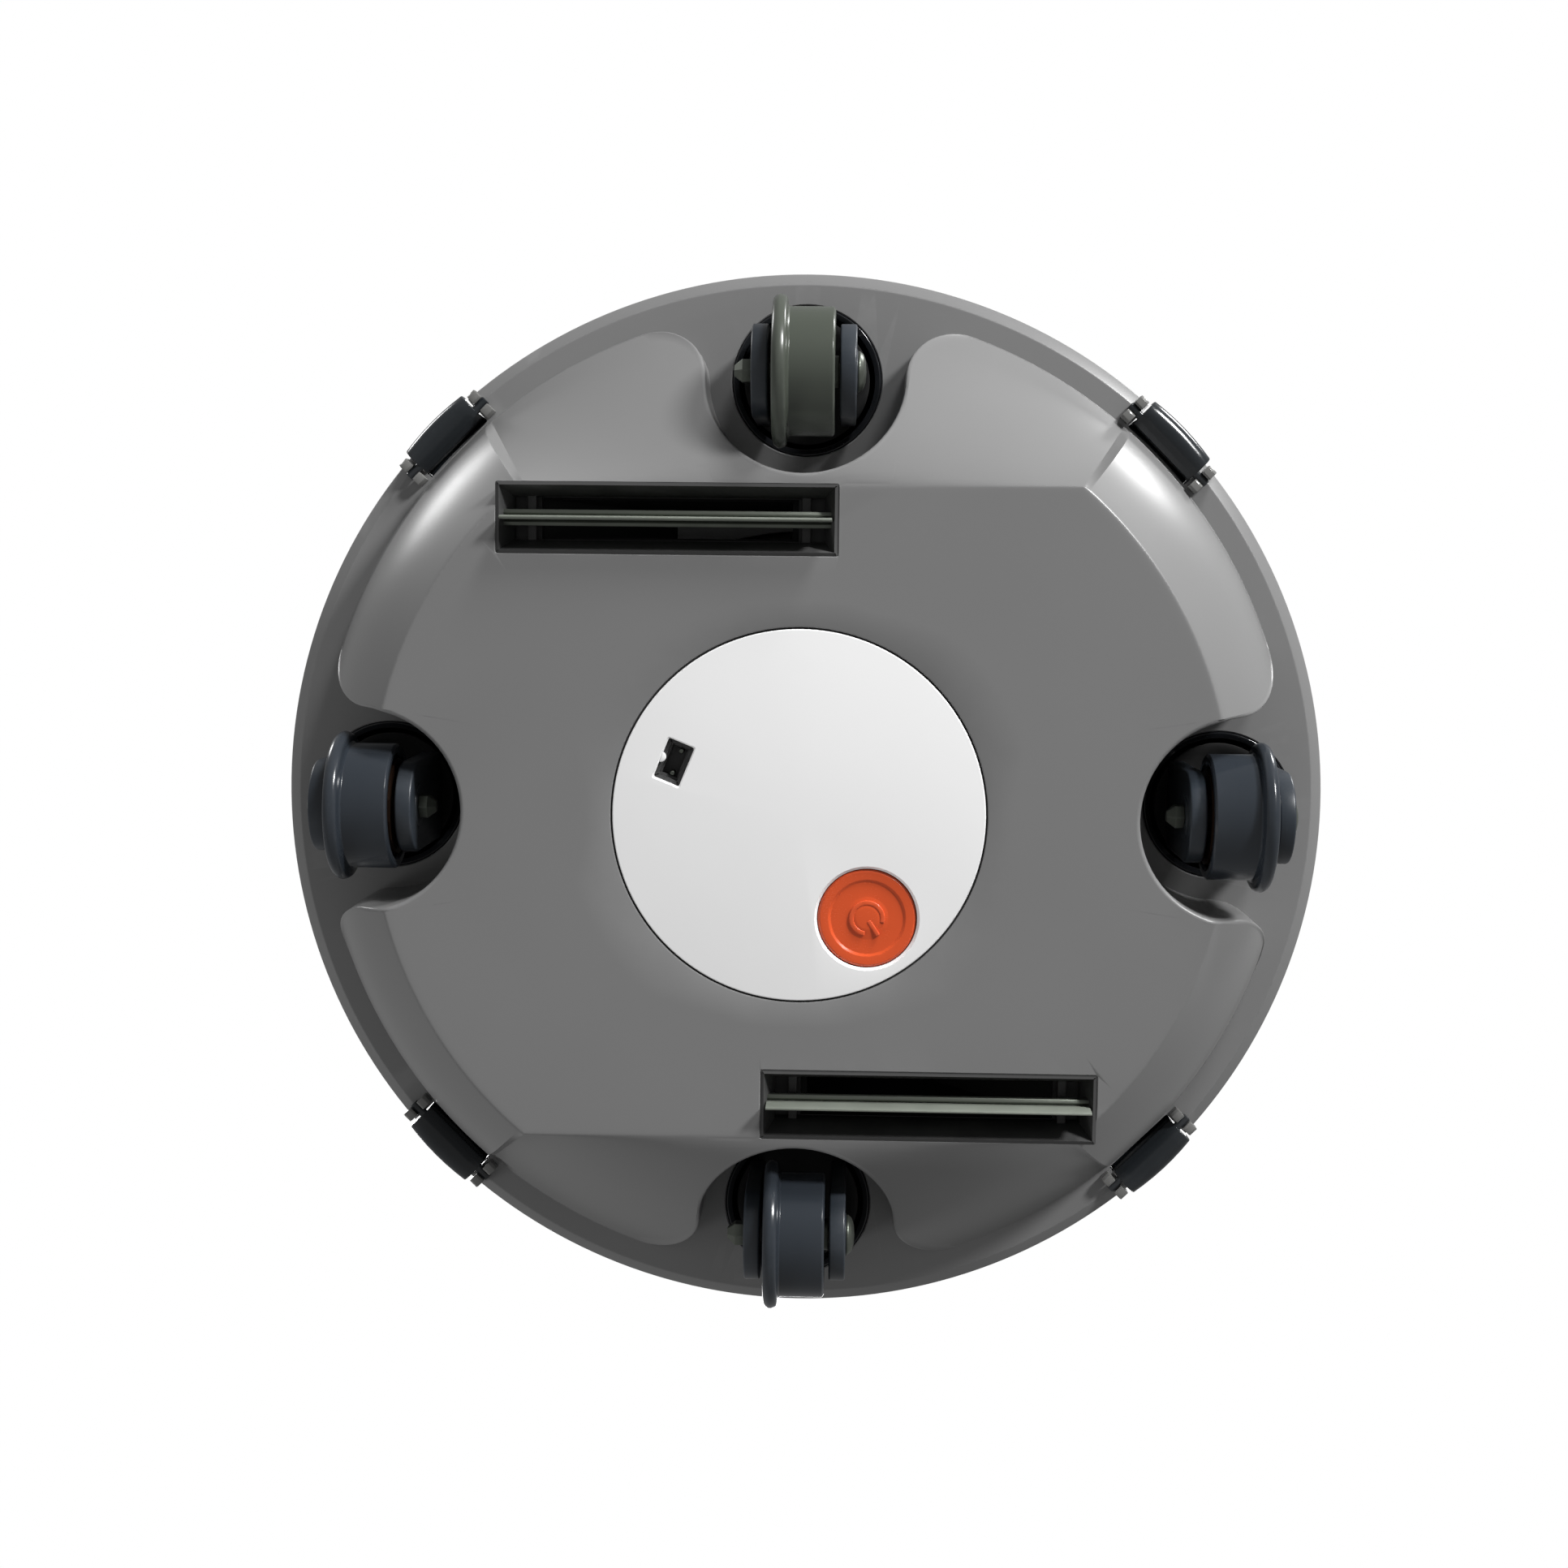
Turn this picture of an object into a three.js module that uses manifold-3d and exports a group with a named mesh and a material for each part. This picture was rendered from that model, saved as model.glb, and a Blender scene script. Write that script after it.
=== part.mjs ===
// Round robot vacuum cleaner on four wheels.
// Millimetres, +Z up. The origin is on the floor under the middle of the body, -Y is the front.
import * as THREE from 'three';
import { mergeVertices } from 'three/addons/utils/BufferGeometryUtils.js';
import Module from 'manifold-3d';

const wasm = await Module();
wasm.setup();

// ---------------------------------------------------------------- driving dimensions

const GAP = 0.3; // between pieces that touch
const THROUGH = 2; // how far a cutter runs past the faces it opens

// base plate: a disc with a bevelled rim
const DISC_RADIUS = 175;
const PLATE_THICKNESS = 4;
const RIM_BEVEL_WIDTH = 3.8;
const RIM_BEVEL_HEIGHT = 2.5;
const PLATE_OPENING_RADIUS = 90;

// belly: the tub below the plate, with convex sides and a ramp in front and behind
const BELLY_DEPTH = 51;
const GROUND_CLEARANCE = 9.2;
const BELLY_MARGIN = 11; // from the rim of the disc in to the belly
const BELLY_SIDE_RUN = 28; // how far the sides lean outwards
const BELLY_SIDE_BULGE = 5;
const BELLY_WALL = 2.6;
const RAMP_HALF_ANGLE = THREE.MathUtils.degToRad(40);
const RIDGE_ANGLE = THREE.MathUtils.degToRad(0.9); // width of the wall between ramp and side
const RAMP_EASE = 0.5;

// wheel modules: a wheel in a fork, the fork on a stem in a round cup
const WHEEL_DIAMETER = 48.4; // over the flange
const TREAD_DIAMETER = 40.4;
const WHEEL_WIDTH = 19.8;
const FLANGE_WIDTH = 4.8;
const WHEEL_WEB = 6.5;
const TREAD_WALL = 3.7;
const WHEEL_SIDE_GAP = 1.3;
const ARM_THICKNESS = 5.3;
const ARM_WIDTH = 29.5;
const CUP_LIP = 2;
const CUP_WALL = 1.2;
const CUP_CLEARANCE = 0.5;
const CUP_LUG = 6;
const TURRET_THICKNESS = 6;
const STEM_RADIUS = 5;
const RING_THICKNESS = 2;
const RING_WIDTH = 3.2;
const BOLT_RADIUS = 2.5;
const BUSH_WALL = 2.3;
const HEAD_RADIUS = 6.5;
const HEAD_HEIGHT = 2.6;
const NUT_RADIUS = 4.2;
const NUT_LENGTH = 5.4;
const BAY_CLEARANCE = 8.1; // from the wheel out to the wall of its bay
const BAY_LIP_RADIUS = 17;

// suction slots and their wipers
const SLOT_LENGTH = 107.3;
const SLOT_WIDTH = 22.5;
const SLOT_OFFSET = 42.3; // the front slot sits to the right, the rear slot to the left
const SLOT_TAPER = 3.1;
const NOZZLE_DEPTH = 16;
const RIB_HEIGHT = 10; // from the mouth up to the ribs
const RIB_SIZE = 2.8;
const RIB_SPREAD = 87;
const DUCT_LENGTH = 78;
const DUCT_WIDTH = 12;
const DUCT_WALL = 2;
const DUCT_TOP_LENGTH = 40;
const DUCT_TOP_WIDTH = 24;
const DUCT_TOP_OFFSET = 20;
const DUCT_LEAN = 8; // how far the duct leans towards the middle
const CARRIER_WIDTH = 5.2;
const CARRIER_THICKNESS = 2.4;
const CARRIER_HEIGHT = 3.4; // above the belly's face
const CARRIER_END_GAP = 1.9;
const BLADE_THICKNESS = 1.2;
const BLADE_REACH = 5.6; // below the belly's face
const PIVOT_RADIUS = 1;
const PIVOT_HEIGHT = 8.4;
const LUG_THICKNESS = 1.4;
const LUG_RADIUS = 1.9;

// centre cover with the power button and the charging socket
const COVER_RADIUS = 59;
const COVER_GAP = 0.6;
const COVER_THICKNESS = 2.6;
const COVER_LEDGE = 2.4;
const LEDGE_THICKNESS = 2;
const COVER_CLIP_TURNS = [116, 236, 356]; // degrees, clear of the button
const BUTTON_RADIUS = 15.6;
const BUTTON_PLACE = [22, 32.3];
const BUTTON_RECESS = 0.7;
const BUTTON_TRAVEL = 1.2;
const BUTTON_FLANGE = 1.4;
const BUTTON_POCKET_BEVEL = 0.8;
const SOCKET_SIZE = [8.7, 13.4];
const SOCKET_PLACE = [-39.6, -16.6];
const SOCKET_TURN = THREE.MathUtils.degToRad(22);
const SOCKET_DEPTH = 8;
const SOCKET_WALL = 1.6;
const SOCKET_KEY_RADIUS = 1.55;
const PIN_RADIUS = 0.8;
const PIN_SPACING = 7.6;

// side latches: a lever on a rod, held in snap jaws at the rim
const LATCH_ROD_INSET = 5.6; // from the rim of the disc in to the rod
const LATCH_ROD_RADIUS = 1.5;
const LATCH_ROD_LENGTH = 36.4;
const LATCH_WIDTH = 26.4;
const LATCH_OVERHANG = 2.2; // past the rim of the disc
const LATCH_SIDE_GAP = 1;
const LATCH_HOOK_HEIGHT = 9;
const LATCH_HOOK_DEPTH = 1.2;
const LATCH_LIFT_ROOM = 1.4;
const JAW_THICKNESS = 3;
const JAW_WIDTH = 3.4;
const JAW_REACH = 2.6;

// upper body
const SHELL_MARGIN = 9.3; // from the rim of the disc in to the shell
const SHELL_WALL = 1.8;
const SHELL_ROUNDING = 12;
const LID_MARGIN = 47; // from the shell in to the lid
const LID_GAP = 0.8;
const LID_THICKNESS = 2.5;
const LID_LEDGE = 3.5;
const LID_LEDGE_THICKNESS = 1.6;
const HINGE_RADIUS = 1.8;
const HINGE_PIN_RADIUS = 0.8;
const HINGE_LENGTH = 30;
const HINGE_REACH = 5; // from the lid's edge to the hinge
const BIN_HALF_WIDTH = 56;
const BIN_WALL = 2;
const FILTER_THICKNESS = 7;
const FAN_PLACE = [88, 76];
const FAN_RADIUS = 30;
const FAN_WALL = 2;
const IMPELLER_GAP = 1.5; // above and below it
const MOTOR_RADIUS = 13;
const MOTOR_SHARE = 0.45; // of the height inside the fan housing
const SHAFT_RADIUS = 2;
const VENT_COUNT = 4;
const VENT_WIDTH = 3;
const BATTERY_SIZE = [140, 80, 27];
const BOARD_SIZE = [130, 70, 1.6];
const SWITCH_SIZE = [12, 12, 4.6];
const PLUNGER_HEIGHT = 0.8;

// ---------------------------------------------------------------- derived places

const axleZ = WHEEL_DIAMETER / 2;
const bellyZ = GROUND_CLEARANCE;
const faceZ = bellyZ + BELLY_DEPTH;
const plateTopZ = faceZ + PLATE_THICKNESS;
const bellyBaseRadius = DISC_RADIUS - BELLY_MARGIN;
const bellyFaceRadius = bellyBaseRadius - BELLY_SIDE_RUN;
const rampEdge = bellyFaceRadius * Math.cos(RAMP_HALF_ANGLE);
const bayRadius = WHEEL_DIAMETER / 2 + BAY_CLEARANCE;
const armInner = WHEEL_WIDTH / 2 + WHEEL_SIDE_GAP;
const armOuter = armInner + ARM_THICKNESS;
const cupRadius = Math.hypot(armOuter, ARM_WIDTH / 2) + CUP_CLEARANCE;
const cupLipRadius = cupRadius + CUP_LIP;
const cupOuterRadius = cupRadius + CUP_WALL;
const stemTopZ = faceZ + cupOuterRadius + GAP + RING_THICKNESS + 1;
const ceilingZ = stemTopZ + 1.3;
const shellTopZ = ceilingZ + LID_THICKNESS;
const shellRadius = DISC_RADIUS - SHELL_MARGIN;
const wheelPlace = shellRadius - SHELL_WALL - cupOuterRadius - GAP;
const lidRadius = shellRadius - LID_MARGIN;
const slotY = rampEdge - SLOT_WIDTH / 2;
const ductTopY = slotY - DUCT_LEAN;
const binHalfLength = ductTopY + DUCT_TOP_WIDTH / 2 + BIN_WALL + 1;
const rodRadiusPlace = DISC_RADIUS - LATCH_ROD_INSET;
const rodZ = faceZ - LATCH_ROD_RADIUS - GAP;
const bushRadius = BOLT_RADIUS + 0.4 + BUSH_WALL;
const batteryZ = bellyZ + 12.8;
const switchZ = batteryZ - GAP - SWITCH_SIZE[2];

// ---------------------------------------------------------------- looks

const LOOKS = {
  body: { color: 0x747474, roughness: 0.5, metalness: 0 },
  cover: { color: 0xe4e4e4, roughness: 0.4, metalness: 0 },
  button: { color: 0xd2492a, roughness: 0.4, metalness: 0 },
  gloss: { color: 0x17191b, roughness: 0.15, metalness: 0 },
  fork: { color: 0x3a3f47, roughness: 0.45, metalness: 0 },
  wheel: { color: 0x30343a, roughness: 0.3, metalness: 0 },
  metal: { color: 0x6f756a, roughness: 0.35, metalness: 1 },
  rubber: { color: 0x8d938a, roughness: 0.7, metalness: 0 },
  latch: { color: 0x262a2e, roughness: 0.25, metalness: 0 },
  clear: { color: 0xa9b4ba, roughness: 0.2, metalness: 0 },
  filter: { color: 0xdad7cc, roughness: 0.9, metalness: 0 },
  copper: { color: 0xb06a3a, roughness: 0.4, metalness: 1 },
  board: { color: 0x20573a, roughness: 0.5, metalness: 0 },
  battery: { color: 0x2c4a78, roughness: 0.6, metalness: 0 },
};

// ---------------------------------------------------------------- solids

function solidOf(geometry) {
  geometry.deleteAttribute('normal');
  geometry.deleteAttribute('uv');
  const merged = mergeVertices(geometry, 1e-4);
  const corners = merged.index.array;
  const triVerts = [];
  for (let i = 0; i < corners.length; i += 3) {
    const [a, b, c] = [corners[i], corners[i + 1], corners[i + 2]];
    if (a !== b && b !== c && c !== a) triVerts.push(a, b, c);
  }
  const mesh = new wasm.Mesh({
    numProp: 3,
    vertProperties: new Float32Array(merged.attributes.position.array),
    triVerts: new Uint32Array(triVerts),
  });
  return new wasm.Manifold(mesh);
}

function geometryOf(solid) {
  const mesh = solid.getMesh();
  const geometry = new THREE.BufferGeometry();
  geometry.setAttribute('position', new THREE.BufferAttribute(mesh.vertProperties, 3));
  geometry.setIndex(new THREE.BufferAttribute(mesh.triVerts, 1));
  geometry.computeVertexNormals();
  return geometry;
}

// a profile of [radius, height] turned about Z; a ring's profile ends on its first point
function revolve(profile, segments) {
  const points = profile.map(([radius, height]) => new THREE.Vector2(radius, height));
  const geometry = new THREE.LatheGeometry(points, segments);
  geometry.rotateX(Math.PI / 2);
  return solidOf(geometry);
}

function ring(inner, outer, low, high, segments) {
  return revolve([[inner, low], [outer, low], [outer, high], [inner, high], [inner, low]], segments);
}

function cylinder(radius, low, high, segments) {
  return revolve([[0, low], [radius, low], [radius, high], [0, high]], segments);
}

function box(sizeX, sizeY, low, high) {
  const geometry = new THREE.BoxGeometry(sizeX, sizeY, high - low);
  geometry.translate(0, 0, (low + high) / 2);
  return solidOf(geometry);
}

function extrude(shape, low, high) {
  const geometry = new THREE.ExtrudeGeometry(shape, { depth: high - low, bevelEnabled: false });
  geometry.translate(0, 0, low);
  return solidOf(geometry);
}

// a box whose top has its own size and its own centre
function taperedBox(bottomSize, topSize, topShift, low, high) {
  const geometry = new THREE.BoxGeometry(1, 1, 1);
  const position = geometry.attributes.position;
  for (let i = 0; i < position.count; i += 1) {
    const isTop = position.getZ(i) > 0;
    const [sizeX, sizeY] = isTop ? topSize : bottomSize;
    const [shiftX, shiftY] = isTop ? topShift : [0, 0];
    position.setXYZ(
      i,
      position.getX(i) * sizeX + shiftX,
      position.getY(i) * sizeY + shiftY,
      isTop ? high : low,
    );
  }
  return solidOf(geometry);
}

// a turned solid laid along X: its height runs along +X
const alongX = (solid) => solid.rotate([0, 90, 0]);

function piece(name, solid, look) {
  const mesh = new THREE.Mesh(geometryOf(solid), new THREE.MeshStandardMaterial(LOOKS[look]));
  mesh.name = name;
  return mesh;
}

const arcPoint = (centreX, centreY, radius, angle) => new THREE.Vector2(
  centreX + radius * Math.cos(angle),
  centreY + radius * Math.sin(angle),
);

function arcPoints(centreX, centreY, radius, start, end, steps) {
  const points = [];
  for (let i = 0; i <= steps; i += 1) {
    points.push(arcPoint(centreX, centreY, radius, start + ((end - start) * i) / steps));
  }
  return points;
}

// ---------------------------------------------------------------- belly pan

// the angles of the blank's columns, from +X, and whether a column lies on a ramp
function bellyColumns(rampSteps, sideSteps) {
  const columns = [];
  for (const middle of [Math.PI / 2, (3 * Math.PI) / 2]) {
    for (let i = 0; i <= rampSteps; i += 1) {
      const off = RAMP_HALF_ANGLE * ((2 * i) / rampSteps - 1);
      columns.push({ angle: middle + off, off, onRamp: true });
    }
    const sideStart = middle + RAMP_HALF_ANGLE + RIDGE_ANGLE;
    const sideSweep = Math.PI - 2 * (RAMP_HALF_ANGLE + RIDGE_ANGLE);
    for (let i = 0; i <= sideSteps; i += 1) {
      columns.push({ angle: sideStart + (sideSweep * i) / sideSteps, off: 0, onRamp: false });
    }
  }
  return columns;
}

// radius and height of the belly's skin, at a part t of the way from its face to the plate
function bellySkin(column, t) {
  const depth = BELLY_DEPTH - GAP;
  if (column.onRamp) {
    const start = rampEdge / Math.cos(column.off);
    const ease = 1 + RAMP_EASE * (1 - Math.abs(column.off) / RAMP_HALF_ANGLE);
    return [start + (bellyBaseRadius - start) * t, depth * t ** ease];
  }
  const length = Math.hypot(BELLY_SIDE_RUN, depth);
  const bulge = BELLY_SIDE_BULGE * Math.sin(Math.PI * t);
  const radius = bellyFaceRadius + BELLY_SIDE_RUN * t + (bulge * depth) / length;
  return [radius, depth * t - (bulge * BELLY_SIDE_RUN) / length];
}

// the belly as a turned blank, its columns set to the ramps and the sides; inset makes the hollow
function bellyBlank(inset, overrun, rows, rampSteps, sideSteps) {
  const columns = bellyColumns(rampSteps, sideSteps);
  const rowCount = rows + 4;
  const blankProfile = [];
  for (let row = 0; row < rowCount; row += 1) {
    const onAxis = row === 0 || row === rowCount - 1;
    blankProfile.push(new THREE.Vector2(onAxis ? 0 : 1, row));
  }
  const geometry = new THREE.LatheGeometry(blankProfile, columns.length);
  const position = geometry.attributes.position;
  for (let i = 0; i < position.count; i += 1) {
    const row = i % rowCount;
    const column = columns[Math.floor(i / rowCount) % columns.length];
    const t = THREE.MathUtils.clamp((row - 1) / rows, 0, 1);
    const [radius, height] = bellySkin(column, t);
    const onAxis = row === 0 || row === rowCount - 1;
    const reach = onAxis ? 0 : radius - inset;
    const lift = row >= rows + 2 ? overrun : 0;
    position.setXYZ(i, reach * Math.cos(column.angle), reach * Math.sin(column.angle), height + lift);
  }
  return solidOf(geometry);
}

// the plan of one wheel bay, rear of the middle; offset thickens it by a wall
function bayShape(offset) {
  const lip = BAY_LIP_RADIUS - offset;
  const bay = bayRadius + offset;
  const lipPlace = bellyBaseRadius - BAY_LIP_RADIUS;
  const reach = bayRadius + BAY_LIP_RADIUS;
  const cosine = (lipPlace ** 2 + wheelPlace ** 2 - reach ** 2) / (2 * lipPlace * wheelPlace);
  const lean = Math.acos(cosine);
  const lipX = lipPlace * Math.sin(lean);
  const lipY = lipPlace * Math.cos(lean);
  const toBay = Math.PI - Math.atan2(wheelPlace - lipY, lipX);
  const outward = Math.PI / 2 - lean;
  const bayStart = toBay - Math.PI;
  const points = [
    ...arcPoints(lipX, lipY, lip, outward, toBay, 5),
    ...arcPoints(0, wheelPlace, bay, bayStart, -Math.PI - bayStart, 11).slice(1, -1),
    ...arcPoints(-lipX, lipY, lip, Math.PI - toBay, Math.PI - outward, 5),
  ];
  const far = DISC_RADIUS + 20;
  const farX = far * Math.sin(lean);
  points.push(new THREE.Vector2(-farX, far), new THREE.Vector2(farX, far));
  return new THREE.Shape(points);
}

const wheelTurns = [0, 90, 180, 270];

function bays(offset, low, high) {
  const one = extrude(bayShape(offset), low, high);
  return wheelTurns.map((turn) => one.rotate([0, 0, turn])).reduce((all, bay) => all.add(bay));
}

// the block around one slot: a mouth that narrows to the ribs, then a chamber with a duct hole
function nozzle(blank) {
  const wall = BELLY_WALL;
  const throat = [SLOT_LENGTH - 2 * SLOT_TAPER, SLOT_WIDTH - 2 * SLOT_TAPER];
  const block = box(SLOT_LENGTH + 2 * wall, SLOT_WIDTH + 2 * wall, 0, NOZZLE_DEPTH + DUCT_WALL);
  const mouth = taperedBox([SLOT_LENGTH, SLOT_WIDTH], throat, [0, 0], 0, RIB_HEIGHT);
  const lip = box(SLOT_LENGTH, SLOT_WIDTH, -THROUGH, 0);
  const chamber = box(throat[0], throat[1], RIB_HEIGHT, NOZZLE_DEPTH);
  const ductHole = box(DUCT_LENGTH, DUCT_WIDTH, NOZZLE_DEPTH, NOZZLE_DEPTH + DUCT_WALL + THROUGH);
  const place = [-SLOT_OFFSET, -slotY, 0];
  const hollow = mouth.add(lip).add(chamber).add(ductHole).translate(place);
  const ears = [-1, 1].map((side) => {
    const rib = box(RIB_SIZE, throat[1] + 1, RIB_HEIGHT, RIB_HEIGHT + RIB_SIZE);
    const ear = box(RIB_SIZE, 2 * LUG_RADIUS, PIVOT_HEIGHT - LUG_RADIUS, RIB_HEIGHT + 1);
    const hole = cylinder(PIVOT_RADIUS + GAP, -RIB_SIZE, RIB_SIZE, 10);
    const bored = rib.add(ear).subtract(alongX(hole).translate([0, 0, PIVOT_HEIGHT]));
    return bored.translate([place[0] + (side * RIB_SPREAD) / 2, place[1], 0]);
  });
  return { block: block.translate(place).intersect(blank), hollow, ribs: ears[0].add(ears[1]) };
}

function bellyPan() {
  const blank = bellyBlank(0, 0, 4, 10, 12);
  const below = box(4 * DISC_RADIUS, 4 * DISC_RADIUS, -2 * THROUGH, BELLY_WALL);
  const core = bellyBlank(1.3 * BELLY_WALL, THROUGH, 2, 6, 8).subtract(below);
  const hollow = core.subtract(bays(BELLY_WALL, -THROUGH, BELLY_DEPTH + 2 * THROUGH));
  const shaped = blank.subtract(bays(0, -THROUGH, BELLY_DEPTH + THROUGH));
  let pan = shaped.subtract(hollow);

  const ledgeLow = COVER_THICKNESS + GAP;
  const ledgeHigh = ledgeLow + LEDGE_THICKNESS;
  const openingRadius = COVER_RADIUS + COVER_GAP;
  pan = pan.add(ring(openingRadius - 0.5, openingRadius + 3, BELLY_WALL / 2, ledgeHigh, 40));
  pan = pan.subtract(cylinder(openingRadius, -THROUGH, ledgeLow, 40));
  pan = pan.add(ring(openingRadius - COVER_LEDGE, openingRadius + 1, ledgeLow, ledgeHigh, 40));

  const postSize = 6;
  const [batteryX, batteryY] = BATTERY_SIZE;
  for (const sideX of [-1, 1]) {
    for (const sideY of [-1, 1]) {
      const post = box(postSize, postSize, BELLY_WALL / 2, batteryZ - bellyZ - GAP);
      const placeX = (sideX * (batteryX - postSize)) / 2;
      pan = pan.add(post.translate([placeX, (sideY * (batteryY - postSize)) / 2, 0]));
    }
  }

  const front = nozzle(shaped);
  const turned = (solid) => solid.rotate([0, 0, 180]);
  pan = pan.add(front.block).add(turned(nozzle(turned(shaped)).block));
  pan = pan.subtract(front.hollow).subtract(turned(front.hollow));
  pan = pan.add(front.ribs).add(turned(front.ribs));
  return piece('belly_pan', pan.translate([0, 0, bellyZ]), 'body');
}

// ---------------------------------------------------------------- base plate and latches

// solids drawn at the rear, in the middle of one side, turned to the four diagonals
const latchTurns = { rear_right: 45, front_right: 135, front_left: 225, rear_left: 315 };

// one jaw prong: it hooks round the rod; height 0 is the plate's face, x grows away from the rod
function jawShape() {
  const near = LATCH_ROD_RADIUS + GAP;
  const tip = -2 * LATCH_ROD_RADIUS - GAP - 0.7;
  const shape = new THREE.Shape();
  shape.moveTo(near, 1.2);
  shape.lineTo(near, -2 * LATCH_ROD_RADIUS + 0.4);
  shape.lineTo(near - 0.5, tip + 0.3);
  shape.lineTo(near + 0.2, tip);
  shape.lineTo(near + JAW_THICKNESS - 0.7, tip);
  shape.lineTo(near + JAW_THICKNESS, tip + 0.8);
  shape.lineTo(near + JAW_THICKNESS, 1.2);
  return shape;
}

// jawShape stands in the X-Z plane; its width runs along the rod
function jaws() {
  const prong = extrude(jawShape(), 0, JAW_WIDTH).rotate([90, 0, 90]);
  const mirrored = prong.mirror([0, 1, 0]);
  const pair = prong.add(mirrored);
  const along = LATCH_ROD_LENGTH / 2 - JAW_WIDTH - 0.5;
  const both = pair.translate([along, 0, 0]).add(pair.translate([-along - JAW_WIDTH, 0, 0]));
  return both.translate([0, rodRadiusPlace, faceZ]);
}

function basePlate() {
  const opening = PLATE_OPENING_RADIUS;
  let plate = revolve([
    [opening, faceZ],
    [DISC_RADIUS - RIM_BEVEL_WIDTH, faceZ],
    [DISC_RADIUS, faceZ + RIM_BEVEL_HEIGHT],
    [DISC_RADIUS, plateTopZ],
    [opening, plateTopZ],
    [opening, faceZ],
  ], 60);
  const cupHole = cylinder(cupLipRadius + GAP, faceZ - THROUGH, plateTopZ + THROUGH, 20);
  for (const turn of wheelTurns) {
    plate = plate.subtract(cupHole.translate([0, wheelPlace, 0]).rotate([0, 0, turn]));
  }
  const notchWidth = LATCH_WIDTH + 2 * LATCH_SIDE_GAP;
  const notchInner = bellyBaseRadius + GAP;
  const notchDepth = DISC_RADIUS + THROUGH - notchInner;
  const notch = box(notchWidth, notchDepth, faceZ - THROUGH, plateTopZ + THROUGH)
    .translate([0, notchInner + notchDepth / 2, 0]);
  const latchJaws = jaws();
  for (const turn of Object.values(latchTurns)) {
    plate = plate.subtract(notch.rotate([0, 0, turn]));
    plate = plate.add(latchJaws.rotate([0, 0, turn]));
  }
  for (const side of [-1, 1]) {
    const cut = box(DUCT_TOP_LENGTH + 14, DUCT_TOP_WIDTH + 6, faceZ - THROUGH, plateTopZ + THROUGH);
    plate = plate.subtract(cut.translate([side * (DUCT_TOP_OFFSET + 2), side * ductTopY, 0]));
  }
  return piece('base_plate', plate, 'body');
}

// lever in the plane across the rod: x outwards, y up, the rod at the origin
function leverShape() {
  const outer = LATCH_ROD_INSET + LATCH_OVERHANG;
  const skin = 1.9;
  const top = LATCH_ROD_RADIUS + GAP + PLATE_THICKNESS + 0.6;
  const hook = LATCH_HOOK_HEIGHT;
  const wall = shellRadius - rodRadiusPlace;
  const stalk = wall + 2 * GAP;
  const shape = new THREE.Shape();
  shape.moveTo(-0.9, -1.4);
  shape.lineTo(outer - 3.2, -2.2);
  for (const point of arcPoints(outer - 3.2, 1, 3.2, -Math.PI / 2, 0, 5)) shape.lineTo(point.x, point.y);
  shape.lineTo(outer, top);
  shape.lineTo(outer - skin + 0.4, top);
  shape.lineTo(outer - skin, 1.4);
  shape.lineTo(outer - skin - 1.4, 0.2);
  shape.lineTo(0.9, 0.6);
  shape.lineTo(stalk + 1.8, 1.2);
  shape.lineTo(stalk + 1.6, hook + 1);
  shape.lineTo(wall - LATCH_HOOK_DEPTH, hook + 1);
  shape.lineTo(wall - LATCH_HOOK_DEPTH, hook - 1);
  shape.lineTo(stalk, hook - 1.4);
  shape.lineTo(stalk, 0.6);
  return shape;
}

function latch(name, turn) {
  const lever = extrude(leverShape(), -LATCH_WIDTH / 2, LATCH_WIDTH / 2).rotate([90, 0, 90]);
  const rod = cylinder(LATCH_ROD_RADIUS, -LATCH_ROD_LENGTH / 2, LATCH_ROD_LENGTH / 2, 12);
  const mesh = piece(name, lever.add(alongX(rod)), 'latch');
  mesh.position.set(0, rodRadiusPlace, rodZ);
  const turned = new THREE.Group();
  turned.rotation.z = THREE.MathUtils.degToRad(turn);
  turned.add(mesh);
  return turned;
}

// ---------------------------------------------------------------- wheel modules

const cupCentre = faceZ - axleZ; // above the axle

function wheel(name) {
  const edge = WHEEL_WIDTH / 2;
  const rim = WHEEL_DIAMETER / 2;
  const tread = TREAD_DIAMETER / 2;
  const bore = bushRadius + GAP;
  const flangeEnd = -edge + FLANGE_WIDTH;
  const pocket = tread - TREAD_WALL;
  const web = -edge + WHEEL_WEB;
  const solid = revolve([
    [bore, -edge],
    [rim - 1.6, -edge],
    [rim, -edge + 0.35 * FLANGE_WIDTH],
    [rim, flangeEnd - 0.35 * FLANGE_WIDTH],
    [rim - 1.6, flangeEnd],
    [tread, flangeEnd + 0.5],
    [tread, edge],
    [pocket, edge],
    [pocket, web],
    [bore, web],
    [bore, -edge],
  ], 22);
  return piece(name, alongX(solid), 'wheel');
}

function wheelBush(name) {
  const half = armInner - GAP;
  return piece(name, alongX(ring(BOLT_RADIUS + 0.4, bushRadius, -half, half, 10)), 'metal');
}

// hub motor windings on the bush, in the wheel's pocket
function driveStator(name) {
  const inner = bushRadius + GAP;
  const outer = TREAD_DIAMETER / 2 - TREAD_WALL - 1;
  const low = -WHEEL_WIDTH / 2 + WHEEL_WEB + 1;
  return piece(name, alongX(ring(inner + 0.2, outer, low, WHEEL_WIDTH / 2, 14)), 'copper');
}

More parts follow.
